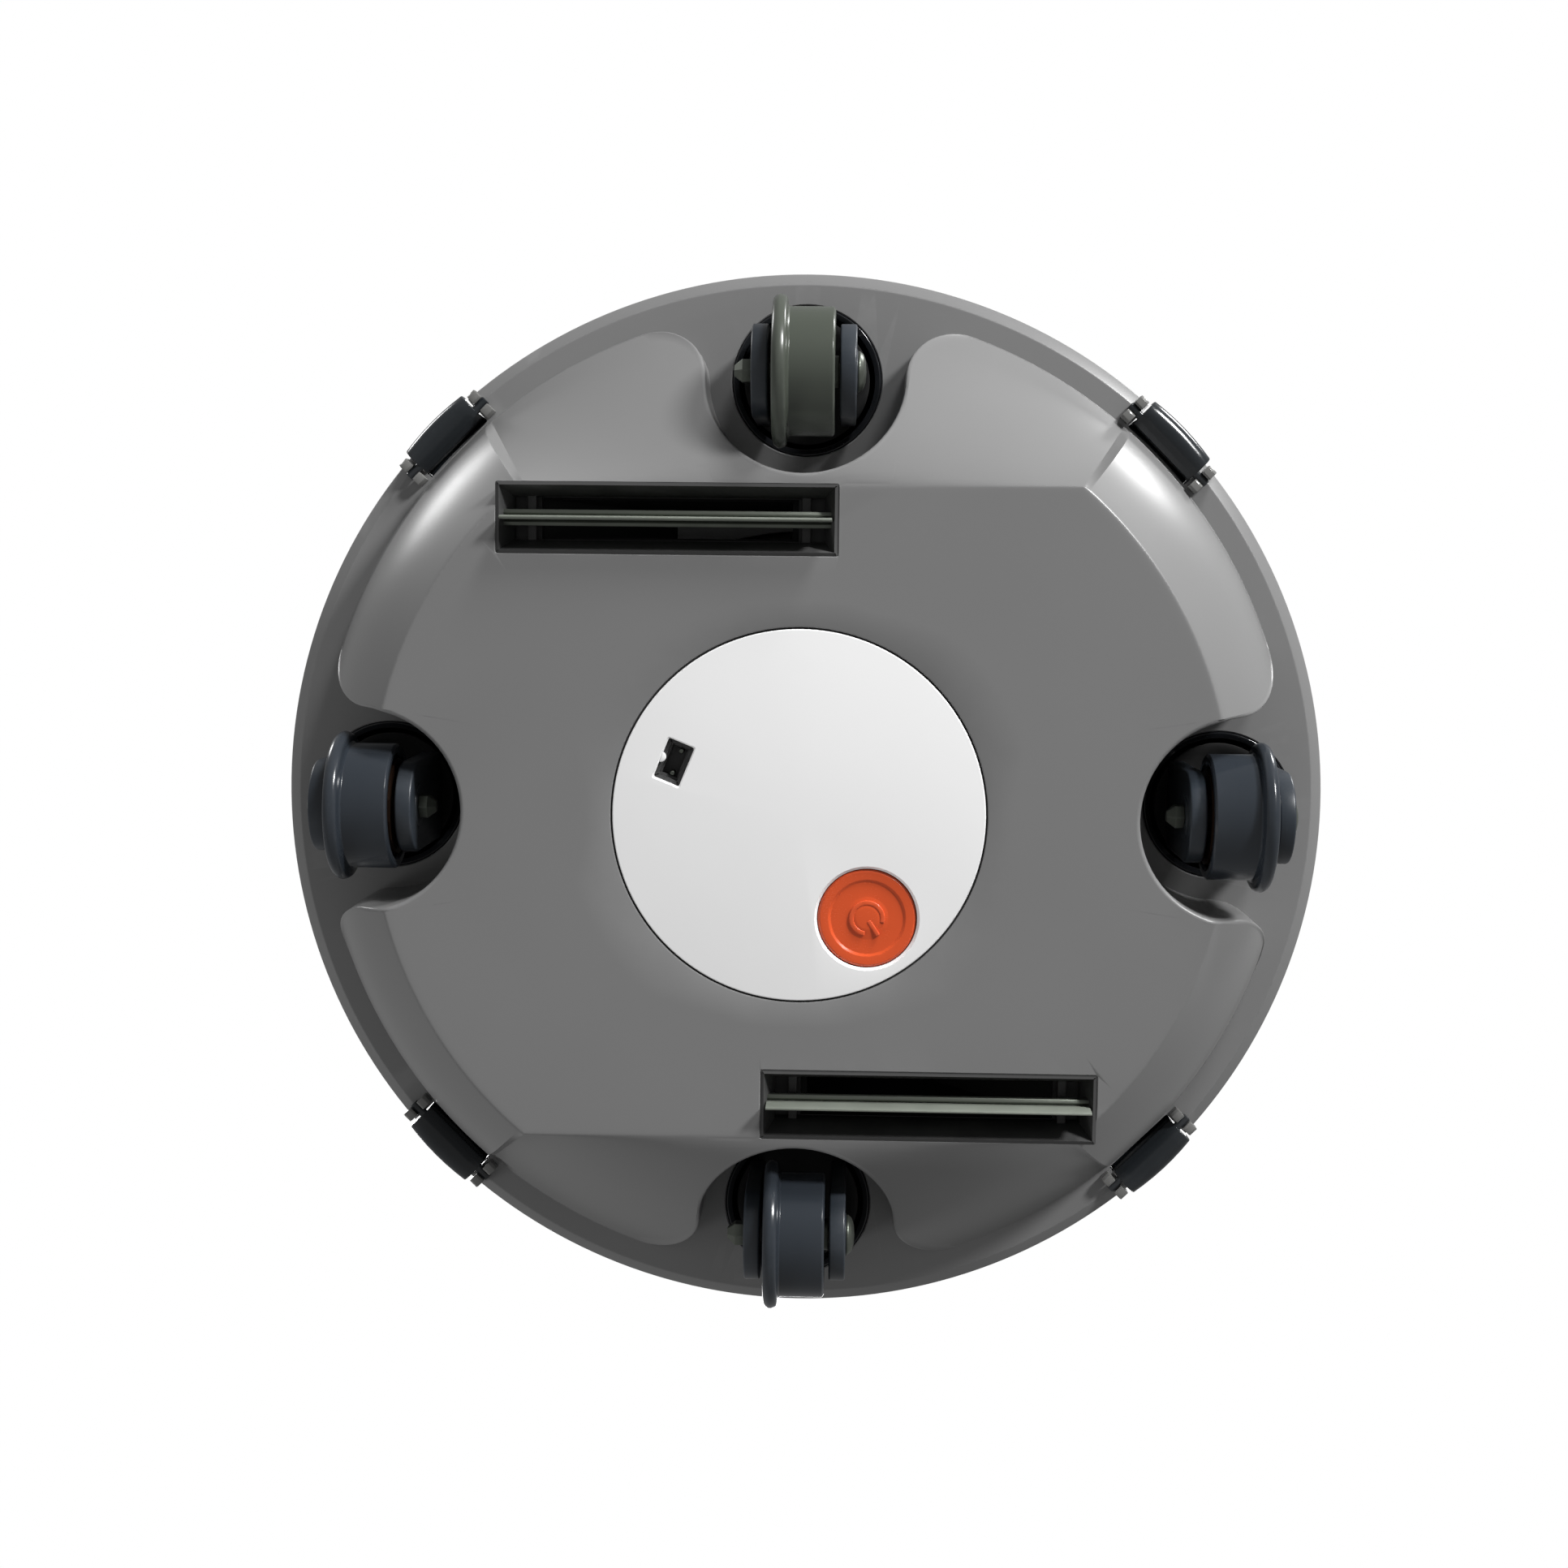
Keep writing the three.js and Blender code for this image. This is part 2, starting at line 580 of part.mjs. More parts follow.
// the bolt's head is on +X and its nut on -X
function axleBolt(name) {
  const seat = armOuter + GAP;
  const solid = revolve([
    [0, -seat - NUT_LENGTH + 3],
    [BOLT_RADIUS, -seat - NUT_LENGTH + 3],
    [BOLT_RADIUS, seat],
    [HEAD_RADIUS, seat],
    [0.75 * HEAD_RADIUS, seat + 0.65 * HEAD_HEIGHT],
    [0.4 * HEAD_RADIUS, seat + 0.93 * HEAD_HEIGHT],
    [0, seat + HEAD_HEIGHT],
  ], 10);
  return piece(name, alongX(solid), 'metal');
}

function axleNut(name) {
  const seat = armOuter + GAP;
  const bore = BOLT_RADIUS + 0.8;
  const solid = revolve([
    [bore, -seat],
    [bore, -seat - 2.7],
    [0, -seat - NUT_LENGTH + 1.2],
    [0, -seat - NUT_LENGTH],
    [0.45 * NUT_RADIUS, -seat - NUT_LENGTH],
    [NUT_RADIUS, -seat - 2.7],
    [NUT_RADIUS, -seat],
    [bore, -seat],
  ], 6);
  return piece(name, alongX(solid), 'metal');
}

// two arms with round ends, a turret under the cup's crown and a stem through it
function fork(name) {
  const half = ARM_WIDTH / 2;
  const turretLow = cupCentre + 1.5;
  const turretHigh = turretLow + TURRET_THICKNESS;
  const turretRadius = Math.sqrt(cupRadius ** 2 - (turretHigh - cupCentre) ** 2) - 1;
  const outline = new THREE.Shape([
    ...arcPoints(0, 0, half, Math.PI, 2 * Math.PI, 8),
    new THREE.Vector2(half, cupCentre - 1),
    new THREE.Vector2(half - 3, turretLow + 1),
    new THREE.Vector2(-half + 3, turretLow + 1),
    new THREE.Vector2(-half, cupCentre - 1),
  ]);
  const hole = new THREE.Path(arcPoints(0, 0, BOLT_RADIUS + GAP + 0.1, 0, 2 * Math.PI, 8).slice(0, -1));
  outline.holes.push(hole);
  const arm = extrude(outline, armInner, armOuter).rotate([90, 0, 90]);
  const turret = cylinder(turretRadius, turretLow, turretHigh, 16);
  const stem = cylinder(STEM_RADIUS, turretHigh - 1, stemTopZ - axleZ, 10);
  return piece(name, arm.add(arm.mirror([1, 0, 0])).add(turret).add(stem), 'fork');
}

// a half-round cup with its lip in the plate's hole and two lugs on the plate, turned by lugTurn
function wellCup(name, lugTurn) {
  const mouth = cupCentre;
  const lipTop = mouth + PLATE_THICKNESS;
  const hole = STEM_RADIUS + GAP;
  const domePoints = (radius, start, end, steps) => arcPoints(0, mouth, radius, start, end, steps)
    .map((point) => [point.x, point.y]);
  const domeStart = Math.asin(PLATE_THICKNESS / cupOuterRadius);
  let cup = revolve([
    [cupRadius, mouth],
    [cupLipRadius, mouth],
    [cupLipRadius, lipTop],
    ...domePoints(cupOuterRadius, domeStart, Math.acos(hole / cupOuterRadius), 3),
    ...domePoints(cupRadius, Math.acos(hole / cupRadius), 0, 4),
  ], 20);
  const lug = box(2 * (cupLipRadius + CUP_LUG), 10, lipTop + GAP, lipTop + GAP + 2);
  const lugs = lug.subtract(cylinder(cupRadius + CUP_WALL / 2, lipTop, lipTop + 3, 20));
  cup = cup.add(lugs.rotate([0, 0, lugTurn]));
  return piece(name, cup, 'gloss');
}

function forkRing(name) {
  const low = faceZ - axleZ + cupOuterRadius + GAP;
  const inner = STEM_RADIUS + GAP;
  return piece(name, ring(inner, inner + RING_WIDTH, low, low + RING_THICKNESS, 10), 'metal');
}

// side modules have their nut on the inside and carry a hub motor
function wheelModule(place, x, y, turn, isDriven) {
  const module = new THREE.Group();
  module.position.set(x, y, axleZ);
  module.rotation.z = THREE.MathUtils.degToRad(turn);
  const axle = new THREE.Group();
  axle.rotation.z = isDriven ? Math.PI : 0;
  axle.add(axleBolt(`axle_bolt_${place}`), axleNut(`axle_nut_${place}`));
  module.add(wellCup(`well_cup_${place}`, isDriven ? 90 : 0));
  module.add(fork(`fork_${place}`), forkRing(`fork_ring_${place}`));
  module.add(wheel(`wheel_${place}`), wheelBush(`wheel_bush_${place}`), axle);
  if (isDriven) module.add(driveStator(`drive_stator_${place}`));
  return module;
}

// ---------------------------------------------------------------- wipers and ducts

// drawn for the front slot, turned half a turn for the rear one
function wiper(place, turn) {
  const length = SLOT_LENGTH - 2 * CARRIER_END_GAP;
  const carrierTop = CARRIER_HEIGHT + CARRIER_THICKNESS;
  const grooveTop = CARRIER_HEIGHT + 1.4;
  const groove = box(length + THROUGH, BLADE_THICKNESS + 2 * GAP, CARRIER_HEIGHT - THROUGH, grooveTop);
  let carrier = box(length, CARRIER_WIDTH, CARRIER_HEIGHT, carrierTop).subtract(groove);
  const lugInner = RIB_SIZE / 2 + 0.8;
  for (const rib of [-1, 1]) {
    for (const side of [-1, 1]) {
      const lug = box(LUG_THICKNESS, 2 * LUG_RADIUS, carrierTop - 0.4, PIVOT_HEIGHT + 1.5);
      const lugX = (rib * RIB_SPREAD) / 2 + side * (lugInner + LUG_THICKNESS / 2);
      carrier = carrier.add(lug.translate([lugX, 0, 0]));
    }
  }
  const bore = cylinder(PIVOT_RADIUS + GAP, -length / 2, length / 2, 10);
  carrier = carrier.subtract(alongX(bore).translate([0, 0, PIVOT_HEIGHT]));
  const blade = box(length, BLADE_THICKNESS, -BLADE_REACH, grooveTop - GAP);
  const rodHalf = RIB_SPREAD / 2 + RIB_SIZE / 2 + 3;
  const rod = alongX(cylinder(PIVOT_RADIUS, -rodHalf, rodHalf, 10)).translate([0, 0, PIVOT_HEIGHT]);
  const placed = new THREE.Group();
  placed.position.set(-SLOT_OFFSET, -slotY, bellyZ);
  placed.add(piece(`wiper_carrier_${place}`, carrier, 'metal'));
  placed.add(piece(`wiper_blade_${place}`, blade, 'rubber'));
  placed.add(piece(`wiper_pivot_${place}`, rod, 'metal'));
  const turned = new THREE.Group();
  turned.rotation.z = THREE.MathUtils.degToRad(turn);
  turned.add(placed, suctionDuct(place));
  return turned;
}

// a hood from the nozzle's duct hole up to the dust bin
function suctionDuct(place) {
  const low = bellyZ + NOZZLE_DEPTH + DUCT_WALL + GAP;
  const shift = [SLOT_OFFSET - DUCT_TOP_OFFSET, DUCT_LEAN];
  const wall = 2 * DUCT_WALL;
  const bottom = [DUCT_LENGTH, DUCT_WIDTH];
  const top = [DUCT_TOP_LENGTH - wall, DUCT_TOP_WIDTH - wall];
  const outer = taperedBox([bottom[0] + wall, bottom[1] + wall], [top[0] + wall, top[1] + wall], shift, low, plateTopZ);
  const inner = taperedBox(bottom, top, shift, low - 0.01, plateTopZ + 0.01);
  const mesh = piece(`suction_duct_${place}`, outer.subtract(inner), 'fork');
  mesh.position.set(-SLOT_OFFSET, -slotY, 0);
  return mesh;
}

// ---------------------------------------------------------------- centre cover

const socketTurn = (solid) => solid
  .rotate([0, 0, THREE.MathUtils.radToDeg(SOCKET_TURN)])
  .translate([SOCKET_PLACE[0], SOCKET_PLACE[1], 0]);

function centreCover() {
  const ledgeInner = COVER_RADIUS + COVER_GAP - COVER_LEDGE;
  const hookLow = COVER_THICKNESS + LEDGE_THICKNESS + 2 * GAP;
  const stalk = box(2, 8, COVER_THICKNESS - 1, hookLow + 1.2).translate([ledgeInner - GAP - 1, 0, 0]);
  const hook = box(3.4, 8, hookLow, hookLow + 1.2).translate([ledgeInner - GAP - 0.3, 0, 0]);
  let cover = cylinder(COVER_RADIUS, 0, COVER_THICKNESS, 40);
  for (const turn of COVER_CLIP_TURNS) {
    cover = cover.add(stalk.add(hook).rotate([0, 0, turn]));
  }
  const buttonHole = BUTTON_RADIUS + GAP;
  const pocket = revolve([
    [0, -THROUGH],
    [buttonHole + BUTTON_POCKET_BEVEL + THROUGH, -THROUGH],
    [buttonHole, BUTTON_POCKET_BEVEL],
    [buttonHole, COVER_THICKNESS + THROUGH],
    [0, COVER_THICKNESS + THROUGH],
  ], 24);
  cover = cover.subtract(pocket.translate([...BUTTON_PLACE, 0]));
  const socketHole = box(...SOCKET_SIZE, -THROUGH, COVER_THICKNESS + THROUGH);
  const key = cylinder(SOCKET_KEY_RADIUS, -2 * THROUGH, COVER_THICKNESS + 2 * THROUGH, 12)
    .translate([-SOCKET_SIZE[0] / 2, 0, 0]);
  cover = cover.subtract(socketTurn(socketHole.subtract(key)));
  return piece('centre_cover', cover.translate([0, 0, bellyZ]), 'cover');
}

// the button's face is a shallow dish with a step; its flange holds it behind the cover
function powerButton() {
  const flangeLow = COVER_THICKNESS + GAP;
  const flangeRadius = BUTTON_RADIUS + BUTTON_FLANGE;
  const bossHigh = switchZ - PLUNGER_HEIGHT - BUTTON_TRAVEL - GAP - bellyZ;
  const solid = revolve([
    [0, BUTTON_RECESS],
    [0.76 * BUTTON_RADIUS, BUTTON_RECESS],
    [0.8 * BUTTON_RADIUS, BUTTON_RECESS + 0.6],
    [BUTTON_RADIUS, BUTTON_RECESS + 0.9],
    [BUTTON_RADIUS, flangeLow],
    [flangeRadius, flangeLow],
    [flangeRadius, flangeLow + 1.4],
    [4, flangeLow + 1.4],
    [4, bossHigh],
    [0, bossHigh],
  ], 24);
  const mesh = piece('power_button', solid, 'button');
  mesh.position.set(...BUTTON_PLACE, bellyZ);
  return mesh;
}

function powerSwitch() {
  const plunger = cylinder(2, switchZ - PLUNGER_HEIGHT, switchZ + 1, 10);
  const body = box(SWITCH_SIZE[0], SWITCH_SIZE[1], switchZ, batteryZ - GAP);
  return piece('power_switch', body.add(plunger).translate([...BUTTON_PLACE, 0]), 'gloss');
}

function chargeSocket() {
  const low = COVER_THICKNESS + GAP;
  const high = low + SOCKET_DEPTH;
  const floor = high - SOCKET_WALL;
  const [sizeX, sizeY] = SOCKET_SIZE;
  const outer = box(sizeX + 2 * SOCKET_WALL, sizeY + 2 * SOCKET_WALL, low, high);
  const inner = box(sizeX + GAP, sizeY + GAP, low - 1, floor);
  let cup = outer.subtract(inner);
  for (const side of [-1, 1]) {
    const hole = cylinder(PIN_RADIUS + GAP, floor - 1, high + 1, 10);
    cup = cup.subtract(hole.translate([0.7, (side * PIN_SPACING) / 2, 0]));
  }
  return piece('charge_socket', socketTurn(cup).translate([0, 0, bellyZ]), 'gloss');
}

function chargePin(name, side) {
  const low = COVER_THICKNESS + 1.6;
  const high = COVER_THICKNESS + GAP + SOCKET_DEPTH + 1;
  const pin = cylinder(PIN_RADIUS, low, high, 10).translate([0.7, (side * PIN_SPACING) / 2, 0]);
  return piece(name, socketTurn(pin).translate([0, 0, bellyZ]), 'metal');
}

// ---------------------------------------------------------------- upper body

const hingeY = lidRadius + HINGE_REACH;
const hingeZ = shellTopZ - HINGE_RADIUS;

function topShell() {
  const low = plateTopZ + GAP;
  const opening = lidRadius + LID_GAP;
  const inside = shellRadius - SHELL_WALL;
  const roundCentre = shellRadius - SHELL_ROUNDING;
  const crown = arcPoints(roundCentre, shellTopZ - SHELL_ROUNDING, SHELL_ROUNDING, 0, Math.PI / 2, 3);
  const innerRound = SHELL_ROUNDING - SHELL_WALL;
  const innerCrown = arcPoints(roundCentre, ceilingZ - innerRound, innerRound, Math.PI / 2, 0, 2);
  let shell = revolve([
    [inside, low],
    [shellRadius, low],
    ...crown.map((point) => [point.x, point.y]),
    [opening, shellTopZ],
    [opening, ceilingZ - GAP],
    [opening - LID_LEDGE, ceilingZ - GAP],
    [opening - LID_LEDGE, ceilingZ - GAP - LID_LEDGE_THICKNESS],
    [opening + SHELL_WALL, ceilingZ - GAP - LID_LEDGE_THICKNESS],
    [opening + SHELL_WALL, ceilingZ],
    ...innerCrown.map((point) => [point.x, point.y]),
    [inside, low],
  ], 48);

  const bossDepth = 2 * HINGE_RADIUS + 3;
  for (const side of [-1, 1]) {
    const boss = box(6, bossDepth, hingeZ - HINGE_RADIUS - 1.2, shellTopZ);
    shell = shell.add(boss.translate([side * (HINGE_LENGTH / 2 + 0.6 + 3), hingeY + 0.6, 0]));
  }
  const notchFront = opening - LID_LEDGE - THROUGH;
  const notchBack = hingeY + HINGE_RADIUS + 1;
  const notch = box(HINGE_LENGTH + 1.2, notchBack - notchFront, ceilingZ - 6, shellTopZ + THROUGH);
  shell = shell.subtract(notch.translate([0, (notchFront + notchBack) / 2, 0]));
  const pinHole = cylinder(HINGE_PIN_RADIUS + GAP, -HINGE_LENGTH / 2 - 5.6, HINGE_LENGTH / 2 + 5.6, 10);
  shell = shell.subtract(alongX(pinHole).translate([0, hingeY, hingeZ]));

  const windowLow = rodZ + LATCH_HOOK_HEIGHT - 1 - GAP - 0.1;
  const windowHigh = rodZ + LATCH_HOOK_HEIGHT + 1 + LATCH_LIFT_ROOM;
  const window = box(LATCH_WIDTH + 1.2, 4 * SHELL_WALL, windowLow, windowHigh);
  for (const turn of Object.values(latchTurns)) {
    shell = shell.subtract(window.translate([0, inside, 0]).rotate([0, 0, turn]));
  }

  const fanTurn = THREE.MathUtils.radToDeg(Math.atan2(FAN_PLACE[1], FAN_PLACE[0])) - 90;
  const ventLow = plateTopZ + 6;
  const ventHigh = shellTopZ - SHELL_ROUNDING - 1;
  const vent = box(VENT_WIDTH, 4 * SHELL_WALL, ventLow, ventHigh).translate([0, inside, 0]);
  for (let i = 0; i < VENT_COUNT; i += 1) {
    const off = 8 + 2.4 * i;
    shell = shell.subtract(vent.rotate([0, 0, fanTurn + off]));
  }
  return piece('top_shell', shell, 'body');
}

function binLid() {
  const lid = cylinder(lidRadius, ceilingZ, shellTopZ, 40);
  const tongueFront = lidRadius - 6;
  const tongue = box(HINGE_LENGTH, hingeY - tongueFront, ceilingZ, shellTopZ)
    .translate([0, (hingeY + tongueFront) / 2, 0]);
  const barrel = alongX(cylinder(HINGE_RADIUS, -HINGE_LENGTH / 2, HINGE_LENGTH / 2, 14))
    .translate([0, hingeY, hingeZ]);
  const bore = alongX(cylinder(HINGE_PIN_RADIUS + GAP, -HINGE_LENGTH, HINGE_LENGTH, 10))
    .translate([0, hingeY, hingeZ]);
  return piece('bin_lid', lid.add(tongue).add(barrel).subtract(bore), 'body');
}

function lidHingePin() {
  const half = HINGE_LENGTH / 2 + 5.2;
  const pin = alongX(cylinder(HINGE_PIN_RADIUS, -half, half, 10)).translate([0, hingeY, hingeZ]);
  return piece('lid_hinge_pin', pin, 'metal');
}

const binLow = plateTopZ + GAP;
const binHigh = ceilingZ - LID_LEDGE_THICKNESS - 2 * GAP;
const filterLength = 40;
const filterY = FAN_PLACE[1];

function dustBin() {
  const width = 2 * BIN_HALF_WIDTH;
  const length = 2 * binHalfLength;
  const inner = box(width - 2 * BIN_WALL, length - 2 * BIN_WALL, binLow + BIN_WALL, binHigh + 1);
  let bin = box(width, length, binLow, binHigh).subtract(inner);
  for (const side of [-1, 1]) {
    const hole = box(DUCT_TOP_LENGTH - 4, DUCT_TOP_WIDTH - 4, binLow - 1, binLow + BIN_WALL + 1);
    bin = bin.subtract(hole.translate([side * DUCT_TOP_OFFSET, side * ductTopY, 0]));
  }
  const outlet = box(4 * BIN_WALL, filterLength - 14, binLow + 5, binHigh - 5);
  bin = bin.subtract(outlet.translate([BIN_HALF_WIDTH - BIN_WALL / 2, filterY - 4, 0]));
  return piece('dust_bin', bin, 'clear');
}

function binFilter() {
  const filter = box(FILTER_THICKNESS, filterLength, binLow + BIN_WALL + GAP, binHigh - 1);
  const x = BIN_HALF_WIDTH - BIN_WALL - GAP - FILTER_THICKNESS / 2;
  return piece('bin_filter', filter.translate([x, filterY - 4, 0]), 'filter');
}

const fanLow = plateTopZ + GAP;
const fanHigh = ceilingZ - 2;
const fanRoom = fanHigh - FAN_WALL - fanLow;
const motorHeight = MOTOR_SHARE * fanRoom;
const impellerLow = fanLow + motorHeight + IMPELLER_GAP;
const impellerHigh = fanLow + fanRoom - IMPELLER_GAP;

function fanHousing() {
  const inner = FAN_RADIUS - FAN_WALL;
  let housing = revolve([
    [inner, fanLow],
    [FAN_RADIUS, fanLow],
    [FAN_RADIUS, fanHigh],
    [0, fanHigh],
    [0, fanHigh - FAN_WALL],
    [inner, fanHigh - FAN_WALL],
    [inner, fanLow],
  ], 24);
  const port = box(12, 22, fanLow + 5, fanHigh - 5);
  housing = housing.subtract(port.translate([-FAN_RADIUS, 0, 0]));
  housing = housing.subtract(port.translate([FAN_RADIUS, 0, 0]).rotate([0, 0, 50]));
  const mesh = piece('fan_housing', housing, 'fork');
  mesh.position.set(...FAN_PLACE, 0);
  return mesh;
}

function fanImpeller() {
  const radius = FAN_RADIUS - FAN_WALL - 3;
  const disc = cylinder(radius, impellerLow, impellerLow + 1.2, 24);
  let impeller = disc.add(cylinder(5, impellerLow, impellerHigh, 12));
  const bladeCount = 9;
  for (let i = 0; i < bladeCount; i += 1) {
    const blade = box(radius - 4, 1, impellerLow + 0.6, impellerHigh - 1)
      .translate([radius / 2 + 1.5, 0, 0])
      .rotate([0, 0, 18])
      .rotate([0, 0, (360 / bladeCount) * i]);
    impeller = impeller.add(blade);
  }
  impeller = impeller.intersect(cylinder(radius, impellerLow, impellerHigh, 24));
  impeller = impeller.subtract(cylinder(SHAFT_RADIUS + GAP, impellerLow - 1, impellerHigh - 1, 12));
  const mesh = piece('fan_impeller', impeller, 'clear');
  mesh.position.set(...FAN_PLACE, 0);
  return mesh;
}

function fanMotor() {
  const body = cylinder(MOTOR_RADIUS, fanLow, fanLow + motorHeight, 16);
  const shaft = cylinder(SHAFT_RADIUS, fanLow + 1, impellerHigh - 1 - GAP, 12);
  const mesh = piece('fan_motor', body.add(shaft), 'metal');
  mesh.position.set(...FAN_PLACE, 0);
  return mesh;
}

function batteryPack() {
  const [sizeX, sizeY, sizeZ] = BATTERY_SIZE;
  return piece('battery_pack', box(sizeX, sizeY, batteryZ, batteryZ + sizeZ), 'battery');
}

function mainBoard() {
  const low = batteryZ + BATTERY_SIZE[2] + GAP;
  const [sizeX, sizeY, thickness] = BOARD_SIZE;
  const chip = box(16, 16, low + 0.5, low + thickness + 1.6).translate([-30, -8, 0]);
  const coil = cylinder(6, low + 0.5, low + thickness + 4, 12).translate([36, 16, 0]);
  const plug = box(18, 7, low + 0.5, low + thickness + 4).translate([10, -26, 0]);
  const board = box(sizeX, sizeY, low, low + thickness);
  return piece('main_board', board.add(chip).add(coil).add(plug), 'board');
}

// ---------------------------------------------------------------- assembly

const robot = new THREE.Group();
robot.add(basePlate(), bellyPan(), centreCover(), powerButton(), powerSwitch(), chargeSocket());
robot.add(chargePin('charge_pin_front', -1), chargePin('charge_pin_rear', 1));
robot.add(topShell(), binLid(), lidHingePin(), dustBin(), binFilter());
robot.add(fanHousing(), fanImpeller(), fanMotor(), batteryPack(), mainBoard());
robot.add(wiper('front', 0), wiper('rear', 180));
for (const [place, turn] of Object.entries(latchTurns)) {
  robot.add(latch(`latch_${place}`, turn));
}
robot.add(wheelModule('front', 0, -wheelPlace, 0, false));
robot.add(wheelModule('rear', 0, wheelPlace, 0, false));
robot.add(wheelModule('right', -wheelPlace, 0, 0, true));
robot.add(wheelModule('left', wheelPlace, 0, 180, true));

export default robot;
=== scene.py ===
# %% [markdown]
# # A robot vacuum, seen from below
#
# The moving model comes from the CAD part. This file gives it its finish: each part that shows is
# modelled again with soft edges and fine detail in the same place, and gets a material built from
# nodes. Each step says what the real piece is, and why it is made the way it is.

# %% The frame
import math

import bmesh
import bpy
from mathutils import Matrix, Vector


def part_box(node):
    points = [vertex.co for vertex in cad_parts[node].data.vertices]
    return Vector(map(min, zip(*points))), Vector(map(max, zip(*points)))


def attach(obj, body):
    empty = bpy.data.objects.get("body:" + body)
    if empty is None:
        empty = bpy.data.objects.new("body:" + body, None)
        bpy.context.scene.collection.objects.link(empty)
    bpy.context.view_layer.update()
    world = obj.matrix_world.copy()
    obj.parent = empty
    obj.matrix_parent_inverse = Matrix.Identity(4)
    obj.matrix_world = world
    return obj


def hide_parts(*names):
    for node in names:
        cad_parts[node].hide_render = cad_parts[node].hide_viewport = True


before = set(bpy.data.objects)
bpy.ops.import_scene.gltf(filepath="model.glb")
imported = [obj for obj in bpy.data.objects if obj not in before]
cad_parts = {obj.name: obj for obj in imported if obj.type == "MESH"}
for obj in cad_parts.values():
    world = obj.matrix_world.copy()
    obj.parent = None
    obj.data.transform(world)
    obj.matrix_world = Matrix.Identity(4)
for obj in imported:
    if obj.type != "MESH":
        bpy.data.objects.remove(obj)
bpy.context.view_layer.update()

# %% [markdown]
# ## Helpers for outlines
#
# Moulded and turned parts have no sharp corners. The simplest way to give them soft ones is to round
# the outline before it is turned or extruded, so `softened` replaces each corner by a short arc.
# All shapes are drawn in millimetres and made metres at the end.

# %% Outlines
MM = 0.001


def softened(points, radius, steps=3, closed=False):
    """The outline with its corners rounded; a point can carry its own radius as a third number."""
    rounded = []
    count = len(points)
    for i, point in enumerate(points):
        here = Vector(point[:2])
        size = point[2] if len(point) > 2 else radius
        if size <= 0 or (not closed and i in (0, count - 1)):
            rounded.append(here)
            continue
        before = Vector(points[i - 1][:2]) - here
        after = Vector(points[(i + 1) % count][:2]) - here
        angle = before.angle(after)
        if angle > math.pi - 0.05:
            rounded.append(here)
            continue
        cut = min(size / math.tan(angle / 2), 0.48 * before.length, 0.48 * after.length)
        start = here + before.normalized() * cut
        end = here + after.normalized() * cut
        for step in range(steps + 1):
            t = step / steps
            rounded.append(start.lerp(here, t).lerp(here.lerp(end, t), t))
    return rounded


def arc(centre_x, centre_y, radius, start, end, steps):
    """Points on an arc, its angles in degrees."""
    angles = [math.radians(start + (end - start) * step / steps) for step in range(steps + 1)]
    return [Vector((centre_x + radius * math.cos(a), centre_y + radius * math.sin(a))) for a in angles]


def oblong(left, low, right, high):
    return [(left, low), (right, low), (right, high), (left, high)]


def as_drawn(points):
    """Points of a curve, marked so that `softened` leaves them where they are."""
    return [(point.x, point.y, 0) for point in points]


# %% [markdown]
# ## Helpers for solids
#
# A turned part is a profile spun round an axis, and a plate or lever is an outline extruded. Both
# start from a few vertices, and one operator does the rest. Holes are cut with the Boolean modifier,
# because the cutter can carry the chamfer of the hole's edge with it.

# %% Solids
def turned(profile, steps=72, closed=False):
    bm = bmesh.new()
    verts = [bm.verts.new((point[0], 0, point[1])) for point in profile]
    edges = [bm.edges.new(pair) for pair in zip(verts, verts[1:])]
    if closed:
        edges.append(bm.edges.new((verts[-1], verts[0])))
    bmesh.ops.spin(
        bm, geom=verts + edges, cent=(0, 0, 0), axis=(0, 0, 1), angle=math.tau, steps=steps, use_merge=True
    )
    bmesh.ops.remove_doubles(bm, verts=bm.verts, dist=1e-4)
    bmesh.ops.recalc_face_normals(bm, faces=bm.faces)
    return bm


def sharp_edges(bm, limit):
    return [e for e in bm.edges if len(e.link_faces) == 2 and e.calc_face_angle(0) > limit]


def round_edges(bm, edges, radius, segments):
    bmesh.ops.bevel(
        bm, geom=edges, offset=radius, offset_type="OFFSET", segments=segments,
        profile=0.5, affect="EDGES", material=-1, clamp_overlap=True,
    )


def prism(outline, low, high, edge=0.0, segments=3, limit=0.7):
    """An outline in X and Y pulled up from low to high, with its edges rounded."""
    bm = bmesh.new()
    face = bm.faces.new([bm.verts.new((point[0], point[1], low)) for point in outline])
    pulled = bmesh.ops.extrude_face_region(bm, geom=[face])["geom"]
    moved = [item for item in pulled if isinstance(item, bmesh.types.BMVert)]
    bmesh.ops.translate(bm, verts=moved, vec=(0, 0, high - low))
    bmesh.ops.recalc_face_normals(bm, faces=bm.faces)
    if edge:
        round_edges(bm, sharp_edges(bm, limit), edge, segments)
    return bm


def block(size, middle, edge=0.0, segments=2):
    bm = bmesh.new()
    bmesh.ops.create_cube(bm, size=1)
    bmesh.ops.scale(bm, vec=size, verts=bm.verts)
    bmesh.ops.translate(bm, vec=middle, verts=bm.verts)
    if edge:
        round_edges(bm, bm.edges[:], edge, segments)
    return bm


def moved(bm, matrix):
    bmesh.ops.transform(bm, matrix=matrix, verts=bm.verts)
    return bm


def shift(x, y, z):
    return Matrix.Translation((x, y, z))


def turn(degrees, axis="Z"):
    return Matrix.Rotation(math.radians(degrees), 4, axis)


def flipped(bm, across):
    """The solid mirrored in the plane at right angles to that direction."""
    moved(bm, Matrix.Scale(-1, 4, across))
    bmesh.ops.recalc_face_normals(bm, faces=bm.faces)
    return bm


